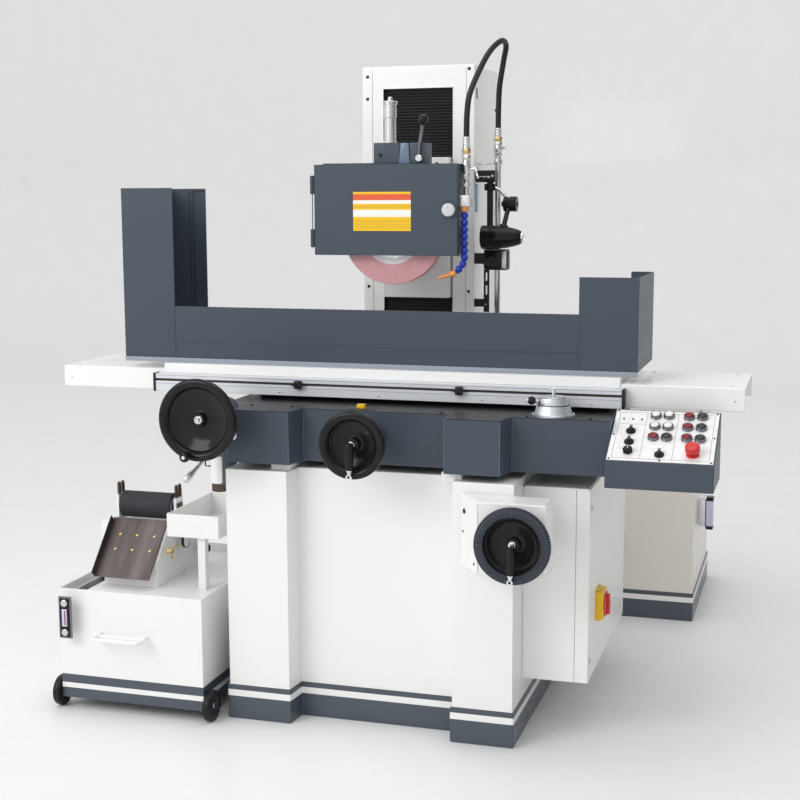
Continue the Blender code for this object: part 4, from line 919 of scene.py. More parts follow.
def handwheels():
    """Three handwheels with their bolts and knobs, the elevating one with a marked ring."""
    washer = [(0, 2), (11.5, 2), (12.5, 0.8), (12.5, -1), (0, -1)]
    cap = [(0, 6), (3.5, 6), (4, 10), (6.2, 9.8), (7.2, 8.5), (7.5, 2), (0, 2)]
    for name, (centre, radius) in (("table_handwheel", TABLE_WHEEL), ("crossfeed_handwheel", CROSS_WHEEL),
                                   ("elevating_handwheel", ELEVATING_WHEEL)):
        ringed = name == "elevating_handwheel"
        wheel = Form(centre).turned(dish(radius, 24.5 if ringed else 19.5, ringed), axis=-Y, sides=128)
        wheel.piece(name + "_dish", "black_plastic", name, name)
        steel = Form(centre).turned(washer, (0, -0.0298, 0), -Y, 40).turned(cap, (0, -0.0298, 0), -Y, 32)
        if name == "table_handwheel":
            steel.turned([(0, 85.5), (3, 85.5), (3.6, 86.6), (5.2, 86.4), (5.8, 84.8), (0, 84.5)],
                         (-0.023, 0, -0.101), -Y, 32)
            steel.turned([(0, 48), (8.5, 48), (8.5, 44), (0, 43.5)], (-0.023, 0, -0.101), -Y, 32)
        steel.piece(name + "_bolt", "chrome_plate", name)
    knob = [(0, 85), (9.5, 84.8), (13, 83.2), (14.5, 79.5), (14.6, 74), (13.8, 65), (12.2, 56), (10.8, 49.5),
            (10, 47), (0, 47)]
    Form(TABLE_WHEEL[0]).turned(knob, (-0.023, 0, -0.101), -Y).piece(
        "table_wheel_knob", "black_plastic", "table_handwheel")
    centre, r = ELEVATING_WHEEL
    ring = [(r - 26.2, 30), (r - 26.2, 43.8), (r - 24.5, 45.5), (r - 4.5, 45.9), (r - 1.2, 44.5), (r, 41),
            (r, 30), (r - 1.2, 26.2), (r - 6, 24), (r - 20, 23.2)]
    Form(centre).turned(ring, axis=-Y, sides=128, closed=True).piece(
        "elevating_wheel_ring", "rim_plastic", "elevating_handwheel")
    marks = Form()
    for i in range(72):
        inner = (r - (11.5 if i % 6 else 15.5)) * MM
        place = Matrix.Translation(centre) @ Matrix.Rotation(math.radians(5 * i), 4, "Y")
        marks.mark((inner, -0.04625, -0.00022), ((r - 6) * MM, -0.0457, 0.00022), 0.0001, place)
    marks.piece("elevating_wheel_marks", "pale_edge", "elevating_handwheel")
    fold_handle("crossfeed_handle", *CROSS_WHEEL)
    fold_handle("elevating_handle", *ELEVATING_WHEEL)


def fold_handle(name, centre, radius):
    """Crank handle folded across the dish: chrome pivot eye on the rim and a black grip."""
    pivot = Vector(centre) + Vector((0, -0.0565, 0.012 - radius * MM))
    eye = Form(pivot).turned([(3.6, 6.8), (4.2, 7.8), (7.6, 7.8), (8.8, 6.2), (9, 3), (9, -6), (8, -7.4),
                              (4.2, -7.4), (3.6, -6.4)], axis=-Y, closed=True)
    eye.turned([(0, 19), (7.2, 19), (8.4, 17.8), (8.4, 14), (6, 12.5), (6, 7), (0, 7)], sides=32)
    eye.piece(name + "_eye", "chrome_plate", name, name)
    pin = Form(pivot).turned([(0, 6.2), (3.6, 6.2), (3.6, -6), (0, -6)], axis=-Y, sides=24)
    pin.piece(name + "_pin", "ink", name)
    grip = [(0, 95), (6.2, 94.6), (10, 92.8), (11.8, 89), (12.4, 80), (12.6, 68), (12.4, 52), (11.8, 36),
            (10.8, 24), (9.8, 19.5), (0, 19)]
    Form(pivot).turned(grip).piece(name + "_grip", "black_plastic", name)
    lug = Form(pivot).box((-0.0085, 0.0093, -0.006), (0.0085, 0.0125, 0.011), 0.0012)
    lug.piece(name + "_lug", "black_plastic", name.replace("handle", "handwheel"))


def levers():
    """Table direction lever with its drop-shaped end, and the speed valve with its turning top."""
    route = [(-0.352, -0.541, 0.868), (-0.362, -0.549, 0.858), (-0.375, -0.56, 0.845),
             (-0.396, -0.582, 0.822), (-0.418, -0.605, 0.8), (-0.428, -0.625, 0.784)]
    stem = Form().tube(smooth_route(route, 5), 0.0058, 20)
    stem.turned([(0, 15.8), (11, 15.8), (13.8, 14), (14, 2), (12.8, 0), (0, 0)], (-0.352, -0.5303, 0.868), -Y)
    start, end = Vector((-0.4255, -0.62, 0.788)), Vector((-0.447, -0.6675, 0.7505))
    tall = (end - start).length / MM
    stem.turned([(0, tall + 2.5), (5, tall + 1.6), (9.4, tall - 3), (11.6, tall - 11), (11.2, tall - 19),
                 (9.2, tall - 29), (7.2, tall - 40), (6.2, 6), (5.9, 0), (0, 0)], start, end - start, 40)
    stem.piece("direction_lever_stem", "satin_aluminium", "direction_lever", "direction_lever")
    valve = (0.566, -0.375, 0.9403)
    deck = (0.566, -0.375, 0.972)
    cone = [(0, 31), (45.5, 31), (47, 30.2), (47.8, 28), (52, 14), (54, 8), (55.2, 6), (60, 5.6), (61.8, 4.6),
            (62, 1), (61.2, 0), (0, 0)]
    Form(valve).turned(cone, sides=96).piece("valve_cone", "satin_aluminium", "saddle", "speed_valve")
    top = Form(deck).turned([(0, 23), (36, 23), (36.8, 22.2), (40, 22.2), (44, 20.8), (45.5, 18.5),
                             (45.5, 1.2), (44, 0.4), (43.5, 0), (0, 0)], sides=96)
    top.turned([(0, 20), (4.2, 20), (4.8, 18.5), (4.8, 1), (7.5, 0), (0, 0)], (0, 0, 0.022), sides=28)
    top.tube([(-0.012, 0, 0.045), (0.008, 0, 0.045)], 0.0026, 14)
    key = [(u - 0.0145, 0, v + 0.045) for u, v in (polar(0.005, 15 * i) for i in range(24))]
    top.tube(key, 0.0016, 10, closed=True)
    top.tube([(-0.03, -0.012, 0.01), (-0.05, -0.02, 0.0117)], 0.0056, 20)
    top.piece("valve_top", "satin_aluminium", "speed_lever", "speed_lever")
    gap = [(40, 0.4), (46.2, 0.4), (46.2, -0.4), (40, -0.4)]
    Form(deck).turned(gap, sides=96, closed=True).piece("valve_gap", "ink", "saddle")
    ball = [(0, 12.4)] + arc(12.2, 12.2, range(80, -71, -10)) + [(0, -11.6)]
    tip = [(0, 13.5), (4.2, 13.5), (5, 12.5), (5, 11), (0, 11)]
    out = Vector((-0.02, -0.008, 0.0017))
    Form(deck).turned(ball, (-0.058, -0.023, 0.012), out, 40).piece(
        "valve_ball", "black_plastic", "speed_lever")
    Form(deck).turned(tip, (-0.058, -0.023, 0.012), out, 32).piece(
        "valve_ball_tip", "chrome_plate", "speed_lever")
    screws = Form(valve)
    for angle in (20, 140, 260):
        screws.screw((*polar(0.0583, angle), 0.0056), Z, 2.6, 1.8)
    screws.piece("valve_screws", "bright_steel", "saddle")


# ---------------------------------------------------------------- saddle, apron and base front


def saddle_details():
    """Dark sheet of painted shade on the apron top, position sensor, pale lines of painted highlight on the
    apron's corners, apron screws and the drain cup.
    """
    # The apron top lies in shade under the table: this thin near-black sheet over it is painted shade.
    shade_outline = [(-0.436, -0.446), (-0.381, -0.446), (-0.371, -0.525), (-0.184, -0.525), (-0.168, -0.446),
           (0.277, -0.446), (0.287, -0.525), (0.444, -0.525), (0.459, -0.446), (0.736, -0.446),
           (0.736, -0.215), (-0.436, -0.215)]
    Form().prism(shade_outline, 0.0014, Matrix.Translation((0, 0, 0.9401)), 0.0004, 1).piece(
        "way_mat", "black_matte", "saddle")
    Form().box((-0.012, -0.412, 0.9402), (0.012, -0.392, 0.9545), 0.0016).piece(
        "sensor_block", "switch_yellow", "saddle")
    Form().box((-0.042, -0.424, 0.9402), (0.044, -0.386, 0.9428), 0.0008).piece(
        "sensor_foot", "black_matte", "saddle")
    # Thin pale blue bars up the apron's corner edges: painted highlights where the folds catch the light.
    thin_bars = Form()
    for x, y in ((-0.385, -0.45), (-0.373, -0.53), (-0.182, -0.53), (-0.165, -0.45), (0.273, -0.45),
                 (0.285, -0.53), (0.446, -0.53), (0.463, -0.45)):
        thin_bars.tube([(x, y, 0.787), (x, y, 0.9385)], 0.0009, 8)
    thin_bars.piece("apron_folds", "pale_blue", "saddle")
    Form().screws((-0.34, -0.21, 0.25, 0.5, 0.68), -0.425, 0.9416, Z, 5, 3).piece(
        "apron_screws", "black_matte", "saddle")
    can = [(0, 42), (28.5, 42), (28.5, -38), (27, -42), (23.5, -44), (0, -44)]
    band = [(24, 0), (25, -1), (25, -24), (24, -26)]
    cup = Form((-0.447, -0.4255, 0.742)).turned(can, sides=56)
    cup.piece("drain_cup", "white_paint", "saddle")
    Form((-0.447, -0.4255, 0.7)).turned(band, sides=56, closed=True).piece(
        "drain_cup_band", "dark_steel", "saddle")
    hook = [(-0.486, -0.4445, 0.786), (-0.486, -0.4445, 0.752), (-0.47, -0.4445, 0.752)]
    Form().tube(hook, 0.0024, 12).piece("drain_hook", "black_matte", "saddle")


def base_details():
    """Elevating box fittings and levelling feet."""
    side = (-0.1047, -0.075, 0)
    screws = Form().screw((0.3965, -0.6215, 0.556), side, 3.6, 2).screw((0.348, -0.5535, 0.63), side, 3.6, 2)
    screws.piece("box_screws", "black_matte", "base")
    port = [(0, 1.6), (4.2, 1.6), (4.6, 3), (6.6, 2.8), (7.2, 1.6), (7.2, -1), (0, -1)]
    Form().turned(port, (0.354, -0.5625, 0.69), side, 32).piece("box_port", "ink", "base")
    low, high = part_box("handwheel_box")
    seam = Form().mark((0.4102, low.y - 0.0006, low.z + 0.004), (0.4112, low.y + 0.0004, high.z - 0.004))
    seam.piece("box_seam", "pale_edge", "base")
    collar = [(14.2, 20), (23, 20), (25.5, 18), (26.5, 1), (14.2, 1)]
    Form().turned(collar, (0.52, low.y, 0.634), -Y, 56, closed=True).piece(
        "box_collar", "satin_aluminium", "base")
    feet = Form()
    for place in product((-0.355, 0.46), (0.575, -0.505), (0.0,)):
        feet.turned([(0, 18), (10, 18), (10, 6), (22, 5), (24, 1), (23, 0), (0, 0)], place, sides=36)
    feet.piece("levelling_screws", "bright_steel", "base")


# ---------------------------------------------------------------- control desk


DESK_NORMAL = Vector((0, -math.sin(DESK_SLOPE), math.cos(DESK_SLOPE)))
DESK_PLACE = Matrix.Translation((0, DESK_EDGE_Y, DESK_EDGE_Z)) @ Matrix.Rotation(DESK_SLOPE, 4, "X")
DIAL = (0.797, 0.041)  # across, and up the slope
SELECTORS = {"mode_selector": (0.794, 0.134), "feed_selector": (0.795, 0.085),
             "pump_selector": (0.882, 0.034)}
FIXED_BUTTONS = {
    "button_white": [(0.891, 0.209), (0.857, 0.157), (0.893, 0.157)],
    "button_red": [(0.946, 0.207), (0.948, 0.109)],
    "button_dark": [(0.894, 0.109), (0.982, 0.209), (0.983, 0.159), (0.984, 0.108)]}
MOVING_BUTTONS = {"start_button": (0.855, 0.207, "button_white"), "stop_button": (0.858, 0.108, "button_red"),
                  "feed_button": (0.946, 0.158, "button_red")}


def desk_point(x, up, height=DESK_PLATE):
    """A place on the desk, from the distance across, the distance up its slope and the height above it."""
    return DESK_PLACE @ Vector((x, up, height))


def desk_bar(form, low, high, edge=0.0001):
    return form.mark(low, high, edge, DESK_PLACE)


def button(rings, caps, x, up, rise):
    """Chrome bezel and domed cap of a push button."""
    bezel = [(11.9, 10), (13.1, 10.4), (14.6, 9.6), (15, 8), (15, 3), (15.8, 2.2), (15.8, 0.1), (11.9, 0.1)]
    dome = [(0, rise), (8.5, rise - 0.1), (10.3, rise - 0.7), (11.3, rise - 2), (11.4, 5), (0, 5)]
    rings.turned(bezel, desk_point(x, up), DESK_NORMAL, 48, closed=True)
    return caps.turned(dome, desk_point(x, up), DESK_NORMAL, 40)


def desk():
    """Slanted control plate with its printed frames, screws, lamps, buttons and selectors."""
    low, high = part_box("control_box")
    left, right = low.x + 0.003, high.x - 0.003
    plate = desk_bar(Form(), (left, 0.004, 0.0001), (right, 0.233, DESK_PLATE), 0.0006)
    plate.piece("control_plate", "plate_white", "saddle")
    lines = Form()
    ends, bottom, top, thin = (left + 0.012, right - 0.012), 0.014, 0.222, 0.0009
    sunk, proud = DESK_PLATE - 0.0003, DESK_PLATE + 0.0002
    for up in (bottom, top):
        desk_bar(lines, (ends[0], up, sunk), (ends[1], up + thin, proud))
    for x in (ends[0], 0.8305, 0.9165, ends[1]):
        desk_bar(lines, (x, bottom, sunk), (x + thin, top, proud))
    desk_bar(lines, (ends[0], 0.168, sunk), (0.8305, 0.1686, proud))
    for x, up in (*SELECTORS.values(), DIAL):
        for across, along in (polar(0.0205, angle) for angle in (40, 90, 140)):
            lines.turned([(0, 0.2), (1.1, 0.2), (1.1, -0.2), (0, -0.2)], desk_point(x + across, up + along),
                         DESK_NORMAL, 16)
    lines.piece("plate_lines", "ink", "saddle")
    screws = Form()
    for x, up in (*product((left + 0.006, right - 0.006), (0.0095, 0.118, 0.2275)),
                  *product(((left + right) / 2,), (0.009, 0.228))):
        screws.screw(desk_point(x, up), DESK_NORMAL, 3, 1.4)
    screws.piece("plate_screws", "black_matte", "saddle")
    rings, fixed = Form(), {look: Form() for look in FIXED_BUTTONS}
    for look, places in FIXED_BUTTONS.items():
        for x, up in places:
            button(rings, fixed[look], x, up, 12.8)
    for name, (x, up, look) in MOVING_BUTTONS.items():
        button(rings, Form(), x, up, 12.9).piece(name + "_cap", look, name, name)
    rings.piece("button_bezels", "dark_chrome", "saddle")
    for look, caps in fixed.items():
        caps.piece("fixed_" + look, look, "saddle")
    dome = [(0, 3.4), (1.6, 3), (2.6, 1.8), (2.8, 0), (0, 0)]
    for x, look in ((0.768, "button_red"), (0.793, "button_dark"), (0.818, "button_red")):
        Form().turned(dome, desk_point(x, 0.19), DESK_NORMAL, 24).piece(
            "lamp_lens_%03d" % round(x * 1000), look, "saddle")
    selectors()
    mushroom()


def selectors():
    """Selector knobs with their grip bars, and the speed dial with its white pointer."""
    top, low, high = DESK_PLATE + 0.016, DESK_PLATE + 0.0158, DESK_PLATE + 0.0162
    for name, (x, up) in SELECTORS.items():
        knob = Form().turned([(0, 5), (11.8, 5), (13.1, 4), (13.5, 2), (13.5, 0), (0, 0)],
                             desk_point(x, up, DESK_PLATE + 0.0003), DESK_NORMAL)
        knob.box((x - 0.004, up - 0.0118, DESK_PLATE + 0.004), (x + 0.004, up + 0.0118, top), 0.0022, 3,
                 DESK_PLACE)
        knob.piece(name + "_knob", "black_plastic", name, name)
        desk_bar(Form(), (x - 0.0007, up + 0.002, low), (x + 0.0007, up + 0.0108, high)).piece(
            name + "_mark", "plate_white", name)
    x, up = DIAL
    base = desk_point(x, up, DESK_PLATE + 0.0003)
    dial = Form().prism(star(0.0133, 12, 4), 0.0135, turn_to(DESK_NORMAL, base), 0.0008)
    dial.turned([(0, 15.7), (9.2, 15.7), (10.4, 14.6), (10.6, 12), (0, 12)], base, DESK_NORMAL, 40)
    dial.piece("speed_dial_knob", "black_plastic", "speed_dial", "speed_dial")
    desk_bar(Form(), (x - 0.0011, up - 0.002, low), (x + 0.0011, up + 0.0085, high + 0.0001)).piece(
        "speed_dial_pointer", "plate_white", "speed_dial")


def mushroom():
    """Emergency stop: red mushroom head on its collar."""
    head = [(0, 26.2), (9, 25.9), (16, 25), (19, 23.6), (20.2, 21.2), (20.4, 18), (20.2, 8), (19.2, 6.6),
            (12.5, 6), (12.2, 0), (0, 0)]
    collar = [(12.5, 5.6), (15.5, 5.6), (17.2, 4.4), (17.8, 1), (17.8, 0.1), (12.5, 0.1)]
    Form().turned(head, desk_point(0.97, 0.042, DESK_PLATE + 0.006), DESK_NORMAL, 72).piece(
        "e_stop_head", "switch_red", "e_stop", "e_stop")
    Form().turned(collar, desk_point(0.97, 0.042), DESK_NORMAL, 56, closed=True).piece(
        "e_stop_collar", "switch_red", "saddle")


# ---------------------------------------------------------------- cabinet and hydraulic unit


def cabinet():
    """Cabinet door gasket, hinges and latches, the main switch, the roof, glands and vents."""
    low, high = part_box("cabinet_door")
    gasket = Form().mark((low.x - 0.0004, low.y + 0.004, low.z + 0.004),
                         (low.x + 0.0006, high.y - 0.004, high.z - 0.004))
    gasket.piece("door_gasket", "black_matte", "cabinet_door")
    hinges = Form((low.x + 0.006, high.y + 0.0045, 0))
    for z in (low.z + 0.075, low.z + 0.0955, high.z - 0.115, high.z - 0.0945):
        hinges.turned([(0, 19.5), (5.2, 19.5), (6, 18.5), (6, 1), (5.2, 0), (0, 0)], (0, 0, z), sides=28)
    hinges.piece("cabinet_hinges", "satin_aluminium", "cabinet_door")
    latches = Form((high.x, low.y + 0.03, 0))
    latch = [(0, 1.2), (3, 1.2), (3.2, 2.6), (9, 2.4), (10, 1.2), (10, -1), (0, -1)]
    for z in (low.z + 0.06, high.z - 0.06):
        latches.turned(latch, (0, 0, z), X, 32)
    latches.piece("cabinet_latches", "bright_steel", "cabinet_door")
    centre = (high.x, -0.235, 0.36)
    housing = Form(centre).box((-0.0002, -0.026, -0.048), (0.0105, 0.026, 0.05), 0.002)
    housing.box((-0.0002, -0.038, -0.04), (0.0235, 0.038, 0.043), 0.004, 3)
    housing.piece("switch_housing", "switch_yellow", "cabinet_door")
    knob = Form(centre).turned([(0, 29), (33, 28.6), (36.2, 27.4), (37.5, 25.5), (37.5, 24), (0, 24)],
                               axis=X, sides=72)
    knob.box((0.025, -0.0095, -0.031), (0.0375, 0.0095, 0.031), 0.0052, 4)
    knob.piece("main_switch_knob", "switch_red", "main_switch", "main_switch")
    Form(centre).mark((0.0374, -0.0012, 0.008), (0.0379, 0.0012, 0.026)).piece(
        "main_switch_mark", "plate_white", "main_switch")
    Form(centre).screws(0.0235, (-0.03024, 0.03024), (-0.03225, 0.03525), X, 2.2, 1, 16).piece(
        "switch_screws", "bright_steel", "cabinet_door")
    low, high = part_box("electric_cabinet")
    roof = Form().box((low.x + 0.004, low.y - 0.0025, high.z - 0.0005),
                      (high.x + 0.036, high.y + 0.004, high.z + 0.003))
    roof.piece("cabinet_roof", "white_paint", "base")
    glands = Form((low.x + 0.06, 0, low.z))
    gland = [(0, 26), (8.5, 26), (10.5, 22), (11.5, 10), (14.5, 8), (14.5, 0), (0, 0)]
    for y in (-0.28, -0.22, 0.1):
        glands.turned(gland, (0, y, 0), -Z, 28)
    glands.piece("cabinet_glands", "black_plastic", "base")
    # The vents are flat near-black bars: painted shade in place of the dark slots.
    vents = Form((0, high.y, 0))
    for z in (0.56 + 0.014 * i for i in range(9)):
        vents.mark((low.x + 0.03, -0.0004, z), (high.x - 0.03, 0.0008, z + 0.005), 0.0003)
    vents.piece("cabinet_vents", "ink", "base")


def hydraulic_unit():
    """Gauge, finger pull, lid seam, filler, vents and screws of the hydraulic unit."""
    low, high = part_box("hydraulic_tank")
    seam = Form().mark((low.x - 0.0004, low.y - 0.0004, 0.76), (high.x + 0.0004, high.y + 0.0004, 0.7618))
    seam.piece("lid_seam", "groove", "base")
    Form((high.x, 0, 0)).box((-0.001, 0.998, 0.326), (0.0245, 1.042, 0.423), 0.003, 3).piece(
        "oil_gauge_mount", "satin_aluminium", "base")
    Form((high.x, 0, 0)).box((0.0265, 0.996, 0.326), (0.0525, 1.044, 0.423), 0.004, 3).piece(
        "oil_gauge_window", "pale_lens", "base")
    caps = Form((high.x, 0, 0)).box((0.0235, 0.999, 0.324), (0.0268, 1.041, 0.425), 0.0008)
    for z_low, z_high in ((0.313, 0.3262), (0.4228, 0.437)):
        caps.box((0.0255, 0.996, z_low), (0.0535, 1.044, z_high), 0.0062, 4)
    caps.piece("oil_gauge_caps", "black_plastic", "base")
    # The finger pull is a flat near-black shape on the face: painted shade in place of a recess.
    outline = arc(0.032, 0.082, [7.5 * i - 90 for i in range(25)], (-0.019, 0.0))
    pull = Form().prism(outline, 0.0012, Matrix.Translation((0.597, low.y + 0.0004, 0.273)) @ AXES_FRONT,
                        0.0004, 1)
    pull.piece("finger_pull", "ink", "base")
    cap = [(0, 46), (20, 46), (22.5, 43), (23, 14), (17.5, 12), (17.5, 4), (30, 3), (30, 0), (0, 0)]
    Form().turned(cap, (low.x + 0.14, 1.34, high.z)).piece("filler_cap", "black_plastic", "base")
    # The vents are flat near-black bars: painted shade in place of the dark slots.
    vents = Form()
    for z in (0.3 + 0.016 * i for i in range(14)):
        vents.mark((low.x - 0.0008, 1.0, z), (low.x + 0.0004, 1.32, z + 0.0065), 0.0004)
        vents.mark((0.42, high.y - 0.0004, z), (0.75, high.y + 0.0008, z + 0.0065), 0.0004)
    vents.piece("tank_vents", "ink", "base")
    Form().screws(low.x, (low.y + 0.022, high.y - 0.022), (0.13, 0.43, 0.735), -X, 5, 2.4).piece(
        "tank_heads", "bright_steel", "base")


# ---------------------------------------------------------------- coolant unit


def tank_fittings():
    """Sight gauge, tubular handle and pump motor of the coolant tank."""
    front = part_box("coolant_tank")[0].y
    gauge = (-0.872, front, 0.3)
    for name, look, x_low, x_high, y_low, y_high, half, edge, steps in (
            ("frame", "dark_chrome", -0.0215, 0.0215, -0.006, 0.001, 0.065, 0.003, 3),
            ("panel", "black_plastic", -0.0165, 0.0165, -0.0078, -0.005, 0.06, 0.0012, 2),
            ("tube", "pale_lens", -0.0085, 0.0085, -0.011, -0.007, 0.027, 0.003, 3),
            ("column", "button_red", 0.0005, 0.0042, -0.0113, -0.0108, 0.022, 0.0002, 1)):
        form = Form(gauge).box((x_low, y_low, -half), (x_high, y_high, half), edge, steps)
        form.piece("gauge_" + name, look, "coolant_unit")
    bolts = Form(gauge)
    bolt = [(0, 5.2), (7.5, 5.2), (10.5, 3.6), (11.5, 1), (11.5, 0), (0, 0)]
    for z in (-0.0455, 0.0455):
        bolts.turned(bolt, (0, -0.0078, z), -Y, 32)
    bolts.piece("gauge_bolts", "bright_steel", "coolant_unit")
    half = [(0.078, 0.0005), (0.0775, -0.016), (0.074, -0.0245), (0.066, -0.028)]
    route = [(-x, y, 0) for x, y in half] + [(0, -0.028, 0)] + [(x, y, 0) for x, y in reversed(half)]
    handle = Form((-0.696, front, 0.247)).tube(smooth_route(route, 5), 0.0058, 20)
    for x in (-0.078, 0.078):
        handle.turned([(0, 4), (8.5, 4), (10.5, 2), (10.8, 0), (0, 0)], (x, 0, 0), -Y, 32)
    handle.piece("tank_handle", "white_paint", "coolant_unit")
    place = (-0.5, -0.02, 0.352)
    motor = Form(place).turned([(0, 150), (30, 150), (40, 146), (46, 136), (47, 126), (47, 30), (52, 26),
                                (55, 18), (55, 3), (60, 0), (0, 0)], sides=64)
    fins = Form()
    for i in range(24):
        turn = Matrix.Translation(place) @ Matrix.Rotation(math.radians(15 * i), 4, "Z")
        fins.mark((0.046, -0.0012, 0.034), (0.051, 0.0012, 0.122), 0.0004, turn)
    motor.merge(fins.work).piece("pump_motor", "black_matte", "coolant_unit")


def separator():
    """Magnetic roller, scraper chute, spring posts, clamps and knobs."""
    centre = (-0.7515, -0.3, 0.585)
    half, r, steps = 88.5, 41.8, 12
    drum = [(0, half), (r - 2, half), (r, half - 2)]
    for top in (half - 4 - i * (2 * half - 8) / steps for i in range(steps)):
        drum += [(r, top), (r, top - 12.5), (r - 0.6, top - 13), (r - 0.6, top - 14.2)]
    drum += [(r, -half + 2), (r - 2, -half), (0, -half)]
    Form(centre).turned(drum, axis=X, sides=80).piece(
        "roller", "roller_rubber", "separator_drum", "separator_drum")
    ends = Form(centre)
    for axis in (-X, X):
        ends.turned([(0, 92.5), (9.8, 92.5), (10, 90), (29, 89.3), (30, 88.4), (0, 88.4)], axis=axis)
    ends.piece("roller_ends", "satin_aluminium", "separator_drum")
    low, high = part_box("chip_chute")
    tangent = Vector((0, -0.142, -0.1565)).normalized()
    normal = Vector((0, -0.7406, 0.6719))
    upright = Vector((0, -tangent.z, tangent.y)).normalized()
    slope, square = (Matrix(((1, 0, 0, 0), (0, tangent.y, up.y, 0), (0, tangent.z, up.z, 0), (0, 0, 0, 1)))
                     for up in (normal, upright))
    # A pale bar along the chute's bend: a painted highlight on the fold.
    bend = Form().box((0, -0.0008, -0.0006), (high.x - low.x - 0.008, 0.0008, 0.0014), 0.0004, 1,
                      Matrix.Translation((low.x + 0.004, -0.366, 0.507)) @ square)
    bend.piece("chute_bends", "pale_edge", "coolant_unit")
    rivets = Form((0, -0.333, 0.5445))
    for down, across in product((0.28, 0.53), (0.22, 0.53, 0.85)):
        place = Vector((low.x + across * (high.x - low.x), -0.142 * down, -0.1565 * down)) + normal * 0.0004
        rivets.turned([(0, 2.8), (2.8, 2.4), (5, 1), (5.2, -0.5), (0, -0.5)], place, normal, 24)
    rivets.piece("chute_rivets", "brass", "coolant_unit")
    flanges = Form()
    for x, rise in ((low.x - 0.0012, 0.02), (high.x - 0.0008, 0.0075)):
        flanges.box((0, 0.004, -0.0015), (0.002, 0.2085, rise), 0.0006, 2,
                    Matrix.Translation((x, -0.3345, 0.544)) @ slope)
    flanges.piece("chute_flanges", "chute_paint", "coolant_unit")
    spring_posts()
    separator_fittings()


def spring_posts():
    """Spring-loaded posts that press the roller's bearings down, two at each end."""
    springs, nuts = Form(), Form()
    coil = [(*polar(0.0058, 30 * i), 0.6175 + 0.026 * i / 72) for i in range(73)]
    for x in (-0.852, -0.651):
        for y in (-0.312, -0.288):
            springs.tube([(x + u, y + v, z) for u, v, z in coil], 0.0014, 8)
            springs.turned([(0, 66.5), (3, 66.5), (3.6, 65.5), (3.6, 0), (0, 0)], (x, y, 0.5905), sides=20)
            for z in (0.644, 0.649):
                nuts.turned([(0, 4.2), (5.8, 4.2), (6.8, 3.2), (6.8, 0.6), (0, 0)], (x, y, z), sides=6)
        nuts.box((x - 0.0075, -0.319, 0.572), (x + 0.0075, -0.281, 0.598), 0.002)
    springs.piece("clamp_springs", "dark_steel", "coolant_unit")
    nuts.piece("clamp_nuts", "dark_steel", "coolant_unit")


def separator_fittings():
    """Screws, wing nut, disc, knobs and inlet guard of the separator body."""
    low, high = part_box("separator_body")
    screws = Form().screws(high.x, (low.y + 0.16, high.y - 0.02), (0.372, 0.5), X, 4.6, 2.4)
    screws.screws(-0.8735, (-0.245, -0.145), 0.49, Z, 4.2, 2.2)
    screws.piece("separator_screws", "bright_steel", "coolant_unit")
    wing = Form((high.x, -0.388, 0.462))
    wing.turned([(0, 16), (6, 16), (8.5, 6), (9.5, 0), (0, 0)], axis=X, sides=24)
    for side in (-1, 1):
        ear = [(0.008, side * 0.004, side * 0.003), (0.016, side * 0.012, side * 0.01),
               (0.021, side * 0.018, side * 0.015), (0.022, side * 0.023, side * 0.019)]
        wing.tube(ear, 0.0036, 12, [0.9, 1.0, 1.25, 0.9])
    wing.piece("separator_wing_nut", "brass", "coolant_unit")
    disc = [(0, 13), (22, 13), (25, 11), (25, 3), (12, 0), (0, 0)]
    place = (high.x, -0.275, 0.473)
    Form(place).turned(disc, axis=X).piece("separator_disc", "white_paint", "coolant_unit")
    knobs = Form(place).turned([(25, 12.5), (27.2, 11.5), (27.2, 4), (25, 3)], axis=X, closed=True)
    knobs.turned([(0, 34), (12, 34), (15, 31), (15.5, 20), (9.5, 14), (8, 4), (15, 0), (0, 0)],
                 (0, 0.115, -0.0565), X, 40)
    knobs.piece("separator_knobs", "black_plastic", "coolant_unit")
    Form().box((-0.903, -0.345, 0.3525), (-0.864, -0.2705, 0.53), 0.002).piece(
        "inlet_guard", "white_paint", "coolant_unit")


def wheels():
    """Solid castor tyres, plastic centres and bright axle ends."""
    r, half = 47, 11
    tyre = [(30, half), (r - 5, half), (r - 1.5, half - 1.5), (r, half - 5)]
    tyre += [(radius, -height) for radius, height in reversed(tyre)]
    disc = [(8.5, half - 1), (11, half - 1), (13, half - 5), (26, half - 6), (28.5, half - 1.5),
            (30.4, half - 0.8)]
    disc += [(radius, -height) for radius, height in reversed(disc)]
    for name in ("front_wheels", "rear_wheels"):
        low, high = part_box(name)
        hub = (0, (low.y + high.y) / 2, r * MM)
        tyres, centres = Form(hub), Form(hub)
        for x in (low.x + half * MM, high.x - half * MM):
            tyres.turned(tyre, (x, 0, 0), X, 72, closed=True)
            centres.turned(disc, (x, 0, 0), X, 48, closed=True)
        length = (high.x - low.x) / MM
        axle = [(0, length), (6, length), (7.8, length - 1.6), (8, length - 4), (8, 4), (7.8, 1.6), (6, 0),
                (0, 0)]
        tyres.piece(name + "_tyres", "caster_tyre", name, name)
        centres.piece(name + "_centres", "rim_plastic", name)
        Form(hub).turned(axle, (low.x, 0, 0), X, 32).piece(name + "_axle", "bright_steel", name)


# ---------------------------------------------------------------- lamp


LAMP_POST = (0.243, 0.2, 0)
LAMP_HEAD = (0.301, 0.13, 1.429)
LAMP_BOX = ((0.227, 0.178, 1.322), (0.307, 0.215, 1.389))


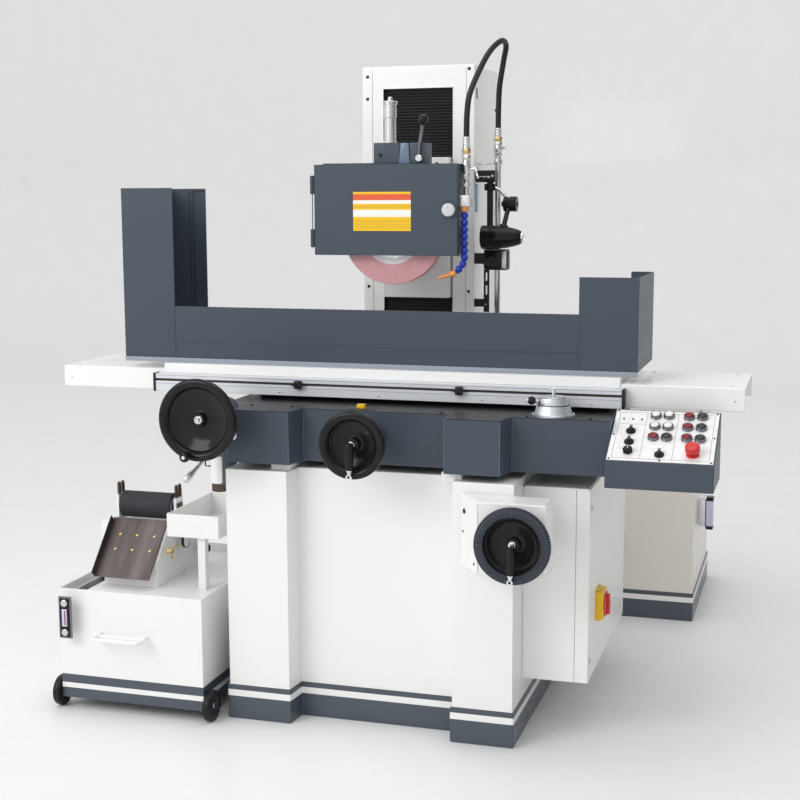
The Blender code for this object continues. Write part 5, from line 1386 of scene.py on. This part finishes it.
def lamp():
    """Work lamp: arm with its collar, knuckle, stem, shade, rear cap and lens."""
    elbow = Vector((0.311, LAMP_POST[1], 1.534))
    rod = Form(LAMP_POST).tube([(0.016, 0, 1.586), (0.03, 0, 1.58), (0.06, 0, 1.55)], 0.0058, 24)
    rod.piece("lamp_arm_rod", "satin_aluminium", "lamp_arm", "lamp_arm")
    collar = [(10.8, 11), (17.5, 11), (19, 9.8), (19, -9.8), (17.5, -11), (10.8, -11)]
    drum = [(0, 29), (8, 29), (9, 27.5), (9, 22.2), (22.5, 21.5), (24.5, 19.5), (24.5, 9.5), (21.5, 8.5),
            (21.5, 2.5), (24.5, 1.5), (24.5, -19.5), (22.5, -21.5), (6, -22.2), (6, -24.5), (0, -24.5)]
    knuckle = Form().turned(collar, (*LAMP_POST[:2], 1.588), closed=True).turned(drum, elbow, -X, 56)
    knuckle.piece("lamp_knuckle", "black_plastic", "lamp_arm")
    stem = [Vector(p) for p in ((-0.004, -0.02, -0.016), (-0.006, -0.034, -0.036), (-0.007, -0.052, -0.056),
                                (-0.008, -0.066, -0.074))]
    rod = Form(elbow).tube(smooth_route(stem, 6), 0.0078, 24)
    rod.turned([(0, 6), (12, 6), (15, 4), (16.5, -8), (0, -8)], stem[-1], stem[-2] - stem[-1], 40)
    rod.piece("lamp_stem", "black_plastic", "lamp_head")
    shade = [(0, 60), (32, 60), (34, 67.5), (36.2, 67.5), (37.7, 65.5), (38.1, 60), (37.9, 42), (36.3, 40),
             (36.3, 37), (37.4, 35), (36.4, 12), (33.8, -13), (29.8, -34), (25.2, -50), (21, -58.5),
             (17.5, -62), (0, -62)]
    rear = [(0, -69), (6, -69), (6.6, -65.5), (10, -65), (11, -69), (15.2, -68.5), (16.5, -66.5),
            (16.5, -61), (0, -61)]
    lens = [(0, 61.8), (24, 61), (30.8, 59.6), (30.8, 58.8), (0, 58.8)]
    Form(LAMP_HEAD).turned(shade, axis=-X, sides=72).piece(
        "lamp_shade", "black_plastic", "lamp_head", "lamp_head")
    Form(LAMP_HEAD).turned(rear, axis=-X).piece("lamp_rear", "chrome_plate", "lamp_head")
    Form(LAMP_HEAD).turned(lens, axis=-X, sides=56).piece("lamp_lens", "plate_white", "lamp_head")


def lamp_support():
    """Post and clamp of the lamp, and the transformer box below it."""
    low, high = (Vector(corner) for corner in LAMP_BOX)
    for name, look, left, right in (("panel", "black_plastic", low.x + 0.005, high.x - 0.022),
                                    ("window", "satin_aluminium", high.x - 0.019, high.x - 0.004)):
        Form().box((left, low.y - 0.0012, low.z + 0.005), (right, low.y + 0.0006, high.z - 0.005),
                   0.0008).piece("lamp_box_" + name, look, "base")
    Form().box((0.206, 0.1826, 1.617), (0.246, 0.1842, 1.6232), 0.0004).piece(
        "lamp_clamp_band", "bright_steel", "base")
    screws = Form(low).screws((0.004, 0.076), 0, (0.004, 0.063), -Y, 2.2, 1.2, 16)
    screws = screws.merge(Form().screws(0.2285, 0.204, (1.388, 1.353, 1.288, 1.208), -Y, 3.2, 1.6, 16).work)
    screws.merge(Form().screw((0.254, 0.184, 1.623), -Y, 4.8, 3).work)
    screws.piece("lamp_screws", "bright_steel", "base")
    post = [(0, 229), (9.8, 229), (10.2, 227), (10.2, 1), (0, 0)]
    Form(LAMP_POST).turned(post, (0, 0, 1.381), sides=40).piece("lamp_post", "black_matte", "base")


# ---------------------------------------------------------------- floor


def floor():
    """Pale seamless floor with a curved back, for the picture only."""
    part = bmesh.new()
    back, radius, width = 7.0, 2.0, 14.0
    line = [(-9.0, 0.0)] + arc(radius, radius, range(-90, 1, 9), (back, radius)) + [(back + radius, 7.0)]
    rows = [[part.verts.new((x, y, z)) for y, z in line] for x in (-width, width)]
    for (a, b), (d, c) in zip(looped(rows[0], False), looped(rows[1], False)):
        part.faces.new((a, d, c, b))
    mesh = bpy.data.meshes.new("floor")
    part.to_mesh(mesh)
    part.free()
    mesh.shade_smooth()
    mesh.materials.append(LOOKS["floor"])
    made = bpy.data.objects.new("floor", mesh)
    bpy.context.scene.collection.objects.link(made)


LOOKS = make_looks()
make_camera()
coolant_hose()
for make in (make_light, floor, dress_nodes, riser_pipe, spray, column, wheel_and_guard, dresser,
             splash_details, table_details, handwheels, levers, saddle_details, base_details, desk, cabinet,
             hydraulic_unit, tank_fittings, separator, wheels, lamp, lamp_support):
    make()
